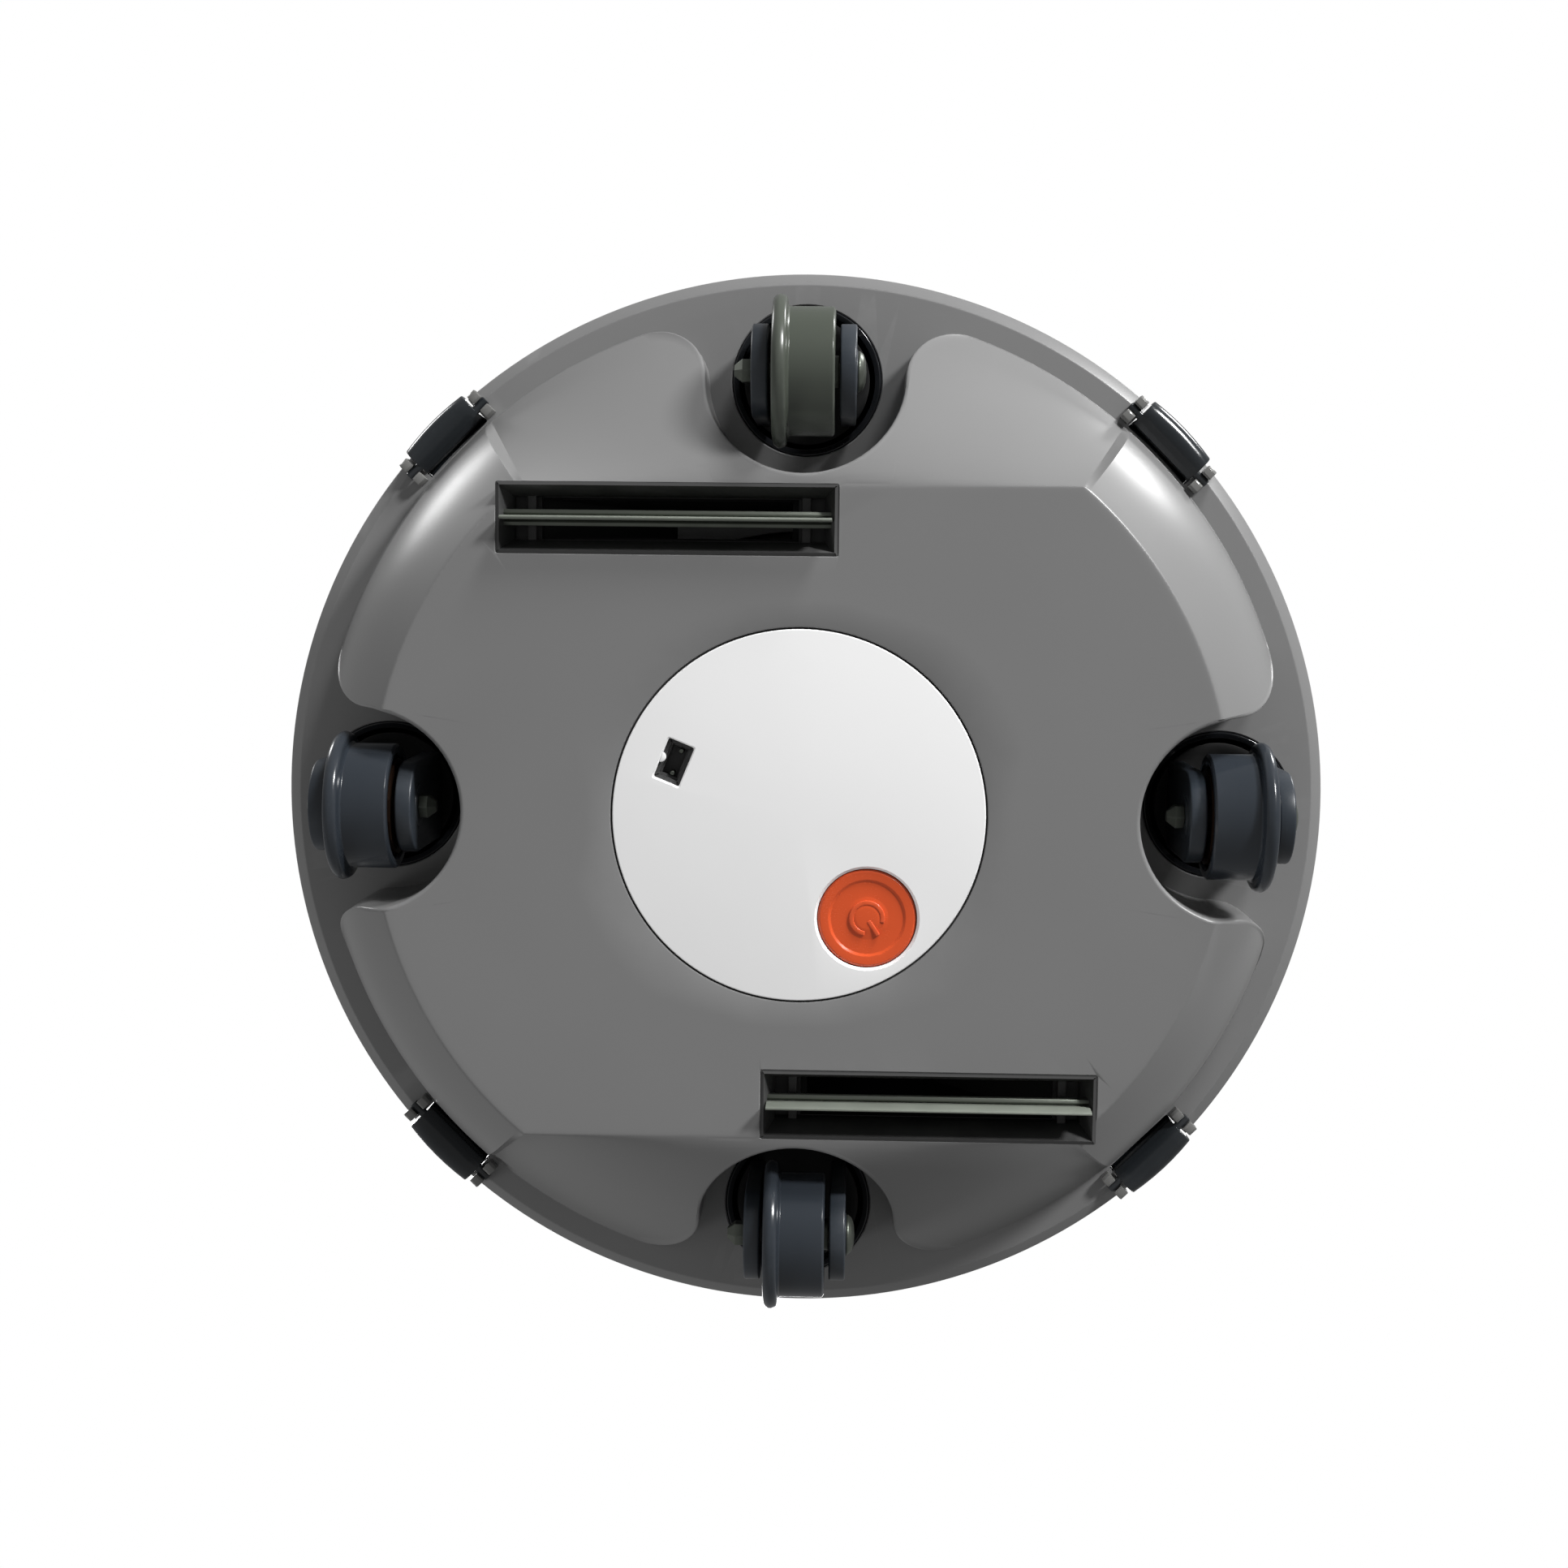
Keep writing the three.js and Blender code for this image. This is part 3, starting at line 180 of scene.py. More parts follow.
def scored(bm, height):
    """A ring of edges added where the level plane at that height crosses the solid."""
    everything = bm.verts[:] + bm.edges[:] + bm.faces[:]
    bmesh.ops.bisect_plane(bm, geom=everything, plane_co=(0, 0, height), plane_no=(0, 0, 1))


def walled(bm, thickness):
    """An open tube with a wall added on its outer side."""
    for face in bm.faces:
        face.normal_flip()
    bmesh.ops.solidify(bm, geom=bm.faces[:], thickness=-thickness)
    return bm


ALONG_X = turn(90, "Y")  # lays a turned part's axis along X
ACROSS = turn(90, "Z") @ turn(90, "X")  # stands an outline in the Y-Z plane and extrudes it along X


def together(*parts):
    """One mesh of several."""
    whole = parts[0]
    for part in parts[1:]:
        mesh = bpy.data.meshes.new("part")
        part.to_mesh(mesh)
        part.free()
        whole.from_mesh(mesh)
        bpy.data.meshes.remove(mesh)
    return whole


def as_object(bm, name):
    mesh = bpy.data.meshes.new(name)
    bm.to_mesh(mesh)
    bm.free()
    obj = bpy.data.objects.new(name, mesh)
    bpy.context.collection.objects.link(obj)
    return obj


def carved(bm, *cutters):
    """The solid with the cutters taken out of it."""
    blank = as_object(bm, "blank")
    tools = [as_object(cutter, "tool") for cutter in cutters]
    for tool in tools:
        cut = blank.modifiers.new("cut", "BOOLEAN")
        cut.operation = "DIFFERENCE"
        cut.solver = "EXACT"
        cut.object = tool
    bpy.context.view_layer.update()
    evaluated = blank.evaluated_get(bpy.context.evaluated_depsgraph_get())
    result = bpy.data.meshes.new_from_object(evaluated)
    bm = bmesh.new()
    bm.from_mesh(result)
    for obj in [blank, *tools]:
        bpy.data.objects.remove(obj)
    bpy.data.meshes.remove(result)
    return bm


# %% [markdown]
# ## Finishing a piece
#
# Every piece ends the same way: metres, its place in its mesh, smooth shading with crisp edges where
# faces meet at an angle, a material, and the CAD body it moves with.

# %% Piece
made = []


def piece(name, bm, body, finish, *nodes, place=Matrix(), crisp=32, bevel=0.0):
    bmesh.ops.transform(bm, matrix=Matrix.Scale(MM, 4) @ place, verts=bm.verts)
    obj = as_object(bm, name)
    obj.data.polygons.foreach_set("use_smooth", [True] * len(obj.data.polygons))
    obj.data.set_sharp_from_angle(angle=math.radians(crisp))
    obj.data.materials.append(finish.material)
    if bevel:
        soft = obj.modifiers.new("soft edges", "BEVEL")
        soft.width = bevel * MM
        soft.segments = 2
        soft.limit_method = "ANGLE"
        soft.angle_limit = math.radians(40)
        soft.harden_normals = True
    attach(obj, body)
    if nodes:
        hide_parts(*nodes)
    made.append(name)
    return obj


def middle_of(node):
    low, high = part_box(node)
    return (Vector(low) + Vector(high)) / (2 * MM)


# %% [markdown]
# ## Shader arithmetic
#
# Materials are sums and products of patterns. Writing them as Python expressions keeps them short:
# `Wire` stands for one output of a node, and each operator adds the Math node that does the work.

# %% Shader helpers
class Wire:
    def __init__(self, finish, socket):
        self.finish = finish
        self.socket = socket

    def maths(self, operation, first, second, clamp=False):
        settings = {"operation": operation, "use_clamp": clamp}
        return self.finish.node("ShaderNodeMath", settings, {0: first, 1: second})

    def __add__(self, other):
        return self.maths("ADD", self, other)

    def __sub__(self, other):
        return self.maths("SUBTRACT", self, other)

    def __mul__(self, other):
        return self.maths("MULTIPLY", self, other)

    __radd__ = __add__

    def clamped(self):
        return self.maths("ADD", self, 0.0, clamp=True)


class Finish:
    """A material: the values that are the same all over, then the patterns that vary."""

    def __init__(self, name, slot, colour, roughness, **values):
        self.slot = slot
        self.material = bpy.data.materials.new(name)
        self.material.use_nodes = True
        self.tree = self.material.node_tree
        self.shader = self.tree.nodes["Principled BSDF"]
        self.shader.inputs["Base Color"].default_value = (*colour, 1)
        self.shader.inputs["Roughness"].default_value = roughness
        for socket, value in values.items():
            self.shader.inputs[socket.replace("_", " ")].default_value = value
        self.material.diffuse_color = (*colour, 1)

    def node(self, kind, settings, sockets, output=0):
        node = self.tree.nodes.new(kind)
        for key, value in settings.items():
            setattr(node, key, value)
        for key, value in sockets.items():
            if isinstance(value, Wire):
                self.tree.links.new(value.socket, node.inputs[key])
            else:
                node.inputs[key].default_value = value
        return Wire(self, node.outputs[output])

    def place(self, stretch=(1, 1, 1)):
        """Object coordinates, stretched so that a pattern runs one way."""
        seen = self.node("ShaderNodeTexCoord", {}, {}, "Object")
        return self.node("ShaderNodeMapping", {}, {"Vector": seen, "Scale": stretch})

    def noise(self, scale, detail=3.0, roughness=0.5, stretch=(1, 1, 1)):
        sockets = {"Vector": self.place(stretch), "Scale": scale, "Detail": detail, "Roughness": roughness}
        return self.node("ShaderNodeTexNoise", {}, sockets, "Fac")

    def ramp(self, value, start, end):
        """0 below start, 1 above end, straight between them."""
        sockets = {"Value": value, "From Min": start, "From Max": end, "To Min": 0.0, "To Max": 1.0}
        return self.node("ShaderNodeMapRange", {"clamp": True}, sockets)

    def worn(self, start=0.505, end=0.56):
        """1 on edges that stick out."""
        edge = self.node("ShaderNodeNewGeometry", {}, {}, "Pointiness")
        return self.ramp(edge, start, end)

    def mix(self, factor, first, second):
        settings = {"data_type": "RGBA"}
        sockets = {0: factor, 6: first, 7: second}
        return self.node("ShaderNodeMix", settings, sockets, 2)

    def feed(self, **wires):
        for socket, wire in wires.items():
            self.tree.links.new(wire.socket, self.shader.inputs[socket.replace("_", " ")])

    def bump(self, height, depth, strength=1.0):
        """Relief of that depth in millimetres."""
        sockets = {"Height": height, "Distance": depth * MM, "Strength": strength}
        self.feed(Normal=self.node("ShaderNodeBump", {}, sockets))


def rgba(colour, brightness=1.0):
    return (colour[0] * brightness, colour[1] * brightness, colour[2] * brightness, 1)


# %% [markdown]
# ## Moulded plastics
#
# Most of the machine is moulded plastic. Close up it has a fine spark-eroded grain from the mould,
# its colour drifts a little over a large panel, handling polishes it in patches, and corners that
# rub on furniture go paler. One function makes that set of patterns in any colour.

# %% Moulded plastic
def moulded(name, slot, colour, roughness, grain=0.004, grain_scale=1500, drift=0.02, wear=0.1, **values):
    finish = Finish(name, slot, colour, roughness, **values)
    cloud = finish.noise(14, 4)
    patch = finish.noise(45, 5, 0.6)
    fine = finish.noise(grain_scale, 2)
    scuff = finish.ramp(finish.noise(60, 6, 0.7, stretch=(1, 9, 9)), 0.62, 0.75)
    worn = finish.worn() * finish.ramp(patch, 0.4, 0.6)
    shade = finish.mix(finish.ramp(cloud, 0.3, 0.7), rgba(colour, 1 - drift), rgba(colour, 1 + drift))
    pale = rgba([min(1, c + 0.25) for c in colour])
    finish.feed(Base_Color=finish.mix((worn * wear + scuff * (0.15 * wear)).clamped(), shade, pale))
    finish.feed(Roughness=(roughness + (patch - 0.5) * 0.08 + (fine - 0.5) * 0.06 + scuff * 0.05).clamped())
    finish.bump(fine, grain)
    return finish


grey = moulded("grey moulding", "grey_shell", (0.19, 0.19, 0.19), 0.34)
white = moulded("white moulding", "white_cover", (0.86, 0.86, 0.86), 0.4, drift=0.02, wear=0.02)
orange = moulded("orange moulding", "orange_button", (0.66, 0.085, 0.02), 0.26, grain=0.004, drift=0.06)
gloss_black = moulded("polished black", "black_gloss", (0.012, 0.013, 0.015), 0.12, grain=0.002, wear=0.04)
fork_plastic = moulded("dark blue grey", "dark_plastic", (0.022, 0.028, 0.036), 0.36)
wheel_plastic = moulded("wheel plastic", "wheel_plastic", (0.022, 0.027, 0.034), 0.2, grain=0.004)
pale_wheel = moulded("green grey wheel", "wheel_plastic", (0.058, 0.066, 0.054), 0.24, grain=0.004)
latch_plastic = moulded("latch plastic", "dark_plastic", (0.014, 0.017, 0.02), 0.2, grain=0.003)
duct_plastic = moulded("duct plastic", "dark_plastic", (0.045, 0.045, 0.045), 0.5)
jaw_plastic = moulded("pale jaw", "grey_shell", (0.15, 0.15, 0.145), 0.2, grain=0.004)
print("plastics:", len(bpy.data.materials))

# %% [markdown]
# ## Metal, rubber and the hidden parts
#
# The nuts, bolts and wiper rails are turned or drawn metal with fine lines along them. The wiper's
# rubber is matt with a dusty bloom. Parts inside the machine get simpler finishes of the same sort.

# %% Metal and rubber
def drawn_metal(name, slot, colour, roughness, stretch=(1, 30, 30)):
    finish = Finish(name, slot, colour, roughness, Metallic=0.85)
    lines = finish.noise(260, 4, 0.6, stretch=stretch)
    stain = finish.ramp(finish.noise(70, 5), 0.45, 0.7)
    finish.feed(Base_Color=finish.mix(stain * 0.35, rgba(colour), rgba(colour, 0.6)))
    finish.feed(Roughness=(roughness + (lines - 0.5) * 0.2 + stain * 0.08).clamped())
    finish.bump(lines, 0.01)
    return finish


def matt(name, slot, colour, roughness, depth=0.03, scale=700, **values):
    finish = Finish(name, slot, colour, roughness, **values)
    bloom = finish.ramp(finish.noise(90, 5, 0.65), 0.35, 0.7)
    fine = finish.noise(scale, 3)
    finish.feed(Base_Color=finish.mix(bloom * 0.5, rgba(colour), rgba(colour, 1.25)))
    finish.feed(Roughness=(roughness + (bloom - 0.5) * 0.12).clamped())
    finish.bump(fine, depth)
    return finish


metal = drawn_metal("green grey metal", "green_grey_metal", (0.16, 0.175, 0.15), 0.36)
rubber = matt("wiper rubber", "wiper_rubber", (0.16, 0.175, 0.15), 0.55)
# Matt near-black: the suction ducts' own colour, and painted shade where it fills the gap round the cover and
# the wheel cups' hollows.
rubber_and_shade = matt("black rubber and painted shade", "dark_plastic", (0.008, 0.008, 0.008), 0.8)
copper = drawn_metal("lacquered wire", "windings", (0.05, 0.028, 0.018), 0.35, stretch=(40, 1, 1))
board = matt("circuit board", "circuit_board", (0.02, 0.11, 0.06), 0.4, depth=0.01)
wrap = matt("battery wrap", "battery_wrap", (0.03, 0.08, 0.2), 0.45, depth=0.01)
cloth = matt("filter cloth", "filter_cloth", (0.65, 0.63, 0.56), 0.9, depth=0.15, scale=1200)
clear = matt("smoky bin", "clear_bin", (0.3, 0.34, 0.37), 0.2, depth=0.002)
clear.shader.inputs["Alpha"].default_value = 0.6

# %% [markdown]
# ## Sizes
#
# The shapes below share a few sizes. The places come from the CAD part's own boxes, so the pieces
# stay on their axles; the rest is what the parts are made to, in millimetres.

# %% Sizes
disc_low, disc_high = [Vector(corner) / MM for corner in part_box("base_plate")]
DISC_RADIUS = round((disc_high.x - disc_low.x) / 2, 2)
belly_low = Vector(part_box("belly_pan")[0]) / MM
BELLY_Z = belly_low.z
FACE_Z = 60.2  # the plate's lower face; its jaws hang below it
PLATE_THICKNESS = 4
PLATE_TOP = FACE_Z + PLATE_THICKNESS
DEPTH = FACE_Z - BELLY_Z
BASE_RADIUS = 164.0
SIDE_FACE_RADIUS = 136.0
SIDE_BULGE = 5.0
RAMP_ANGLE = math.radians(40)
RAMP_EASE = 0.5
RIDGE_ANGLE = math.radians(0.9)
RAMP_EDGE = SIDE_FACE_RADIUS * math.cos(RAMP_ANGLE)
WALL = 2.6
AXLE = middle_of("wheel_rear")
BAY_PLACE = AXLE.y
BAY_RADIUS = 32.3
LIP_RADIUS = 17.0
BAY_EDGE, RIM_EDGE = 1.3, 0.3
COVER_RADIUS = 59.0
OPENING_RADIUS = COVER_RADIUS + 0.6
SLOT = middle_of("wiper_pivot_rear")
print("disc", DISC_RADIUS, "belly", [round(v, 1) for v in belly_low], "axle", [round(v, 2) for v in AXLE])

# %% [markdown]
# ## The belly
#
# The belly is one deep moulding with a flat face, convex sides, a ramp in front and one behind, and
# a bay for each wheel. Its skin never doubles back under itself, so it can be a sheet: a grid whose
# columns run from the round opening in the middle out to the edge of the plan, lifted by a function
# that gives the skin's height at each place. The last rows turn down into the bay's wall.

# %% Height of the belly's skin
def side_at(t):
    """Radius and height of the convex side, t going from the face to the plate."""
    run = BASE_RADIUS - SIDE_FACE_RADIUS
    length = math.hypot(run, DEPTH)
    bulge = SIDE_BULGE * math.sin(math.pi * t)
    return SIDE_FACE_RADIUS + run * t + bulge * DEPTH / length, DEPTH * t - bulge * run / length


def side_height(radius):
    """The convex side's height at a radius, found by halving; it runs on below the face as a slope."""
    if radius <= SIDE_FACE_RADIUS:
        return (radius - SIDE_FACE_RADIUS) * 1.2
    low, high = 0.0, 1.0
    for _ in range(28):
        t = (low + high) / 2
        if side_at(t)[0] < radius:
            low = t
        else:
            high = t
    return side_at(low)[1]


def ramp_height(radius, off):
    """The ramp's height, off being the angle from the middle of the ramp."""
    off = min(off, RAMP_ANGLE)
    start = RAMP_EDGE / math.cos(off)
    t = (radius - start) / (BASE_RADIUS - start)
    ease = 1 + RAMP_EASE * (1 - off / RAMP_ANGLE)
    return DEPTH * t if t < 0 else DEPTH * t**ease


def skin_height(x, y, soft=0.5):
    """Height over the flat face: 0 on it, with an eased turn into the ramp or the side."""
    radius = math.hypot(x, y)
    off = math.atan2(abs(x), abs(y))
    t = min(max((off - RAMP_ANGLE) / RIDGE_ANGLE, 0), 1)
    if t == 0:
        height = ramp_height(radius, off)
    elif t == 1:
        height = side_height(radius)
    else:
        height = (1 - t) * ramp_height(radius, off) + t * side_height(radius)
    height = (height + math.hypot(height, soft)) / 2
    return min(height - soft * soft / 400, DEPTH)


# %% Plan of the belly
def quarter_plan():
    """From the rear bay round to the side bay: place, direction out, edge radius, start angle."""
    lip_place = BASE_RADIUS - LIP_RADIUS
    reach = BAY_RADIUS + LIP_RADIUS
    lean = math.acos((lip_place**2 + BAY_PLACE**2 - reach**2) / (2 * lip_place * BAY_PLACE))
    lip = Vector((lip_place * math.sin(lean), lip_place * math.cos(lean)))
    bay_end = math.atan2(lip.x, BAY_PLACE - lip.y)
    lip_start = math.atan2(BAY_PLACE - lip.y, -lip.x)
    lip_end = math.pi / 2 - lean
    half = []
    for i in range(18):
        a = bay_end * i / 18
        out = Vector((-math.sin(a), math.cos(a)))
        place = Vector((0, BAY_PLACE)) - BAY_RADIUS * out
        half.append((place, out, BAY_EDGE, math.radians(20) * i / 18))
    for i in range(14):
        a = lip_start + (lip_end - lip_start) * i / 14
        out = Vector((math.cos(a), math.sin(a)))
        edge = BAY_EDGE - (BAY_EDGE - RIM_EDGE) * i / 14
        half.append((lip + LIP_RADIUS * out, out, edge, math.radians(20 + 4 * i / 14)))

    def rim(angle, start):
        out = Vector((math.sin(angle), math.cos(angle)))
        return (BASE_RADIUS * out, out, RIM_EDGE, start)

    side = []
    fan_start, fan_end = math.radians(24), math.radians(38)
    for i in range(10):
        t = i / 10
        side.append(rim(lean + (fan_end - lean) * t, fan_start + (fan_end - fan_start) * t))
    near_ridge = [38, 39, 39.6, 39.9, 40, 40.15, 40.3, 40.45, 40.6, 40.75, 40.9, 41, 41.4, 42]
    for angle in near_ridge:
        side.append(rim(math.radians(angle), math.radians(angle)))
    for i in range(1, 8):
        angle = math.radians(42 + 10 * i / 8)
        side.append(rim(angle, angle))
    mirrored = [
        (Vector((p.y, p.x)), Vector((n.y, n.x)), edge, math.pi / 2 - start)
        for p, n, edge, start in reversed(half + side[:11])
    ]
    return half + side + mirrored


def whole_plan():
    """The quarter and its three mirror images, in order round the machine."""
    quarter = quarter_plan()
    plan = list(quarter)
    for flip_x, flip_y, backwards in [(1, -1, True), (-1, -1, False), (-1, 1, True)]:
        source = reversed(quarter[:-1]) if backwards else quarter[1:]
        for point, out, edge, start in source:
            flip = Vector((flip_x, flip_y))
            angles = {(1, -1): math.pi - start, (-1, -1): math.pi + start, (-1, 1): math.tau - start}
            plan.append((point * flip, out * flip, edge, angles[(flip_x, flip_y)]))
    return plan[:-1]


plan = whole_plan()
print("columns round the belly:", len(plan))


# %% Grid of the belly
def column(point, out, edge, start):
    """The points of one column, from the opening out over the skin, down the wall and back inside."""
    inner = Vector((math.sin(start), math.cos(start)))
    end = point - out * edge
    begin = inner * (OPENING_RADIUS + 0.5)
    span = (end - begin).length
    off = math.atan2(abs(end.x), abs(end.y))
    corner = RAMP_EDGE / math.cos(off) if off < RAMP_ANGLE else SIDE_FACE_RADIUS
    corner = min(corner - begin.length, span - 5)
    marks = [(corner - 3) * i / 5 for i in range(5)]
    room = min(1, (span - corner) / 5)
    near_corner = (-3, -1.4, -0.7, -0.3, 0, 0.3, 0.7, 1.4, 3)
    marks += [corner + step * (1 if step < 0 else room) for step in near_corner]
    last = marks[-1]
    marks += [last + (span - last) * i / 16 for i in range(1, 17)]
    mouth = [(OPENING_RADIUS, 3.0), (OPENING_RADIUS, 0.5), (OPENING_RADIUS + 0.14, 0.14)]
    rows = [(*(inner * radius), height) for radius, height in mouth]
    for mark in marks:
        place = begin.lerp(end, mark / span)
        rows.append((place.x, place.y, skin_height(place.x, place.y)))
    top = rows[-1][2]
    for i in range(1, 5):
        a = math.radians(22.5 * i)
        place = end + out * edge * math.sin(a)
        rows.append((place.x, place.y, min(top + edge * (1 - math.cos(a)), DEPTH)))
    low = rows[-1][2]
    for i in range(1, 4):
        rows.append((point.x, point.y, low + (DEPTH - low) * i / 3))
    inside = point - out * WALL
    back = inner * (OPENING_RADIUS + 2)
    for i in range(9):
        place = inside.lerp(back, i / 8)
        behind = min(skin_height(place.x, place.y) + 1.3 * WALL, DEPTH)
        rows.append((place.x, place.y, behind if i else DEPTH))
    rows.append((*(inner * OPENING_RADIUS), 3.0))
    return rows


def belly_shell():
    columns = [column(*entry) for entry in plan]
    across = len(columns[0])
    bm = bmesh.new()
    bmesh.ops.create_grid(bm, x_segments=len(columns), y_segments=across - 1, size=1)
    bm.verts.ensure_lookup_table()
    width = len(columns) + 1
    for i, vert in enumerate(bm.verts):
        vert.co = columns[(i % width) % len(columns)][i // width]
    bmesh.ops.remove_doubles(bm, verts=bm.verts, dist=1e-4)
    bmesh.ops.dissolve_degenerate(bm, dist=1e-5, edges=bm.edges)
    bmesh.ops.recalc_face_normals(bm, faces=bm.faces)
    return bm


# %% [markdown]
# ## The suction slots
#
# Each slot is a mouth whose walls draw in to a throat, with two cross ribs and a duct above. A stack
# of rectangles joined with bridge_loops makes such a funnel, and the same stack with a flared lip
# serves as the cutter that opens the belly, so the hole's edge comes out chamfered.

# %% Funnels
SLOT_LENGTH, SLOT_WIDTH = 107.3, 22.5
RIB_Z, CHAMBER_Z, DUCT_Z = 10.0, 16.0, 38.0
RIB_PLACE, RIB_WIDTH = 43.5, 2.8
SLOT_CHAMFER = 0.3


def funnel(levels, capped):
    """Rectangles (length, width, height) joined into one tube."""
    bm = bmesh.new()
    loops = []
    for length, width, height in levels:
        corners = oblong(-length / 2, -width / 2, length / 2, width / 2)
        outline = softened(corners, 0.8, 3, closed=True)
        verts = [bm.verts.new((p.x, p.y, height)) for p in outline]
        loops.append([bm.edges.new((verts[i - 1], verts[i])) for i in range(len(verts))])
    for first, second in zip(loops, loops[1:]):
        bmesh.ops.bridge_loops(bm, edges=first + second)
    if capped:
        for loop in (loops[0], loops[-1]):
            bmesh.ops.contextual_create(bm, geom=loop)
    bmesh.ops.recalc_face_normals(bm, faces=bm.faces)
    return bm


def slot_cutter(side):
    length, width = SLOT_LENGTH + 2 * SLOT_CHAMFER, SLOT_WIDTH + 2 * SLOT_CHAMFER
    levels = [
        (length, width, -2), (length, width, 0),
        (SLOT_LENGTH, SLOT_WIDTH, SLOT_CHAMFER), (SLOT_LENGTH, SLOT_WIDTH, CHAMBER_Z),
    ]
    return moved(funnel(levels, True), shift(side * SLOT.x, side * SLOT.y, 0))


def slot_liner(side):
    throat = (SLOT_LENGTH - 6.2, SLOT_WIDTH - 6.2)
    duct = (84.5, 15.8)
    levels = [
        (SLOT_LENGTH, SLOT_WIDTH, 0.35), (*throat, RIB_Z), (*throat, CHAMBER_Z),
        (*duct, CHAMBER_Z), (*duct, DUCT_Z),
    ]
    liner = walled(funnel(levels, False), 1.2)
    for end in (-1, 1):
        rib = block((RIB_WIDTH, SLOT_WIDTH - 5, 2.8), (end * RIB_PLACE, 0, RIB_Z + 1.4), 0.35)
        ear = block((RIB_WIDTH, 3.8, 3.6), (end * RIB_PLACE, 0, RIB_Z - 1), 0.3)
        liner = together(liner, rib, ear)
    return moved(liner, shift(side * SLOT.x, side * SLOT.y, 0))


belly = carved(belly_shell(), slot_cutter(-1), slot_cutter(1))
print("belly faces:", len(belly.faces))
piece("belly", belly, "body", grey, "belly_pan", place=shift(0, 0, BELLY_Z), crisp=38)
for name, side in (("front", -1), ("rear", 1)):
    piece(f"slot_liner_{name}", slot_liner(side), "body", duct_plastic, place=shift(0, 0, BELLY_Z))

# %% [markdown]
# ## The disc
#
# The disc is the machine's chassis and bumper: a flat plate with a rounded bevel at its rim, a round
# hole for each wheel cup, and at each diagonal a notch for the latch with two pairs of snap jaws.
# The profile is turned, then the holes are cut with cutters that carry the edge's rounding.

# %% The disc
ROD_PLACE, ROD_Z = 169.4, 58.4  # the latch rod's distance from the axis, and its height
JAW_PLACE = 16.1
WINDOW_HALF, LEVER_HALF = 13.6, 13.2
RIM_BEVEL_WIDTH, RIM_BEVEL_HEIGHT = 3.8, 2.5
PLATE_OPENING = 90
diagonals = {"rear_left": 315, "rear_right": 45, "front_right": 135, "front_left": 225}
quarter_turns = {"rear": 0, "right": 90, "front": 180, "left": 270}
CUP_LIP = 24.63


def jaw(near_side):
    """A hook round the latch's rod, drawn across it; the plate's face is at height 0."""
    near, far = 1.8, 5.0
    outline = softened([
        (near, 1.2, 0), (near, -2.7), (near - 0.55, -3.8, 0.3), (near + 0.2, -4.2, 0.3), (far - 0.8, -4.2),
        (far, -3.2), (far, 1.2, 0),
    ], 0.5, 3, closed=True)
    hook = moved(prism(outline, -1.7, 1.7, 0.3, 2), ACROSS)
    if near_side:
        flipped(hook, (0, 1, 0))
    return hook


def disc():
    profile = softened([
        (PLATE_OPENING, 0), (DISC_RADIUS - RIM_BEVEL_WIDTH, 0, 1.2), (DISC_RADIUS, RIM_BEVEL_HEIGHT, 0.9),
        (DISC_RADIUS, PLATE_THICKNESS, 0.6), (PLATE_OPENING, PLATE_THICKNESS),
    ], 0.4, 4, closed=True)
    plate = turned(profile, 240, closed=True)
    hole_radius, mouth_radius = CUP_LIP + 0.25, CUP_LIP + 0.6
    hole = [(0, -2), (mouth_radius, -2), (mouth_radius, 0), (hole_radius, 0.35), (hole_radius, 6), (0, 6)]
    cutters = [
        moved(turned(hole, 64), turn(angle) @ shift(0, BAY_PLACE, 0)) for angle in quarter_turns.values()
    ]
    window = softened(oblong(-WINDOW_HALF, 164.3, WINDOW_HALF, 180), 0.8, 3, closed=True)
    cutters += [moved(prism(window, -2, 6), turn(angle)) for angle in diagonals.values()]
    return carved(plate, *cutters)


piece("disc", disc(), "body", grey, "base_plate", place=shift(0, 0, FACE_Z), crisp=30, bevel=0.25)
for corner, angle in diagonals.items():
    hooks = [
        moved(jaw(near_side), shift(along, ROD_PLACE, 0))
        for along in (-JAW_PLACE, JAW_PLACE) for near_side in (True, False)
    ]
    on_face = shift(0, 0, FACE_Z) @ turn(angle)
    piece(f"jaws_{corner}", together(*hooks), "body", jaw_plastic, place=on_face)
    # Two dark blocks behind each notch: painted shade that hides the light seen up through the gaps beside
    # the inner jaws.
    shade_blocks = [block((1.6, 5, 5), (side * 14.2, 166.2, PLATE_TOP + 2.6), 0.3) for side in (-1, 1)]
    piece(f"notch_shade_{corner}", together(*shade_blocks), "body", latch_plastic, place=turn(angle))

# %% [markdown]
# ## Latches
#
# Each latch is a lever: a curved flap that wraps the disc's rim, a rod that sits in the jaws, and a
# finger that reaches up through the notch and hooks the upper shell. Its section is drawn once,
# rounded, and extruded along the rod.

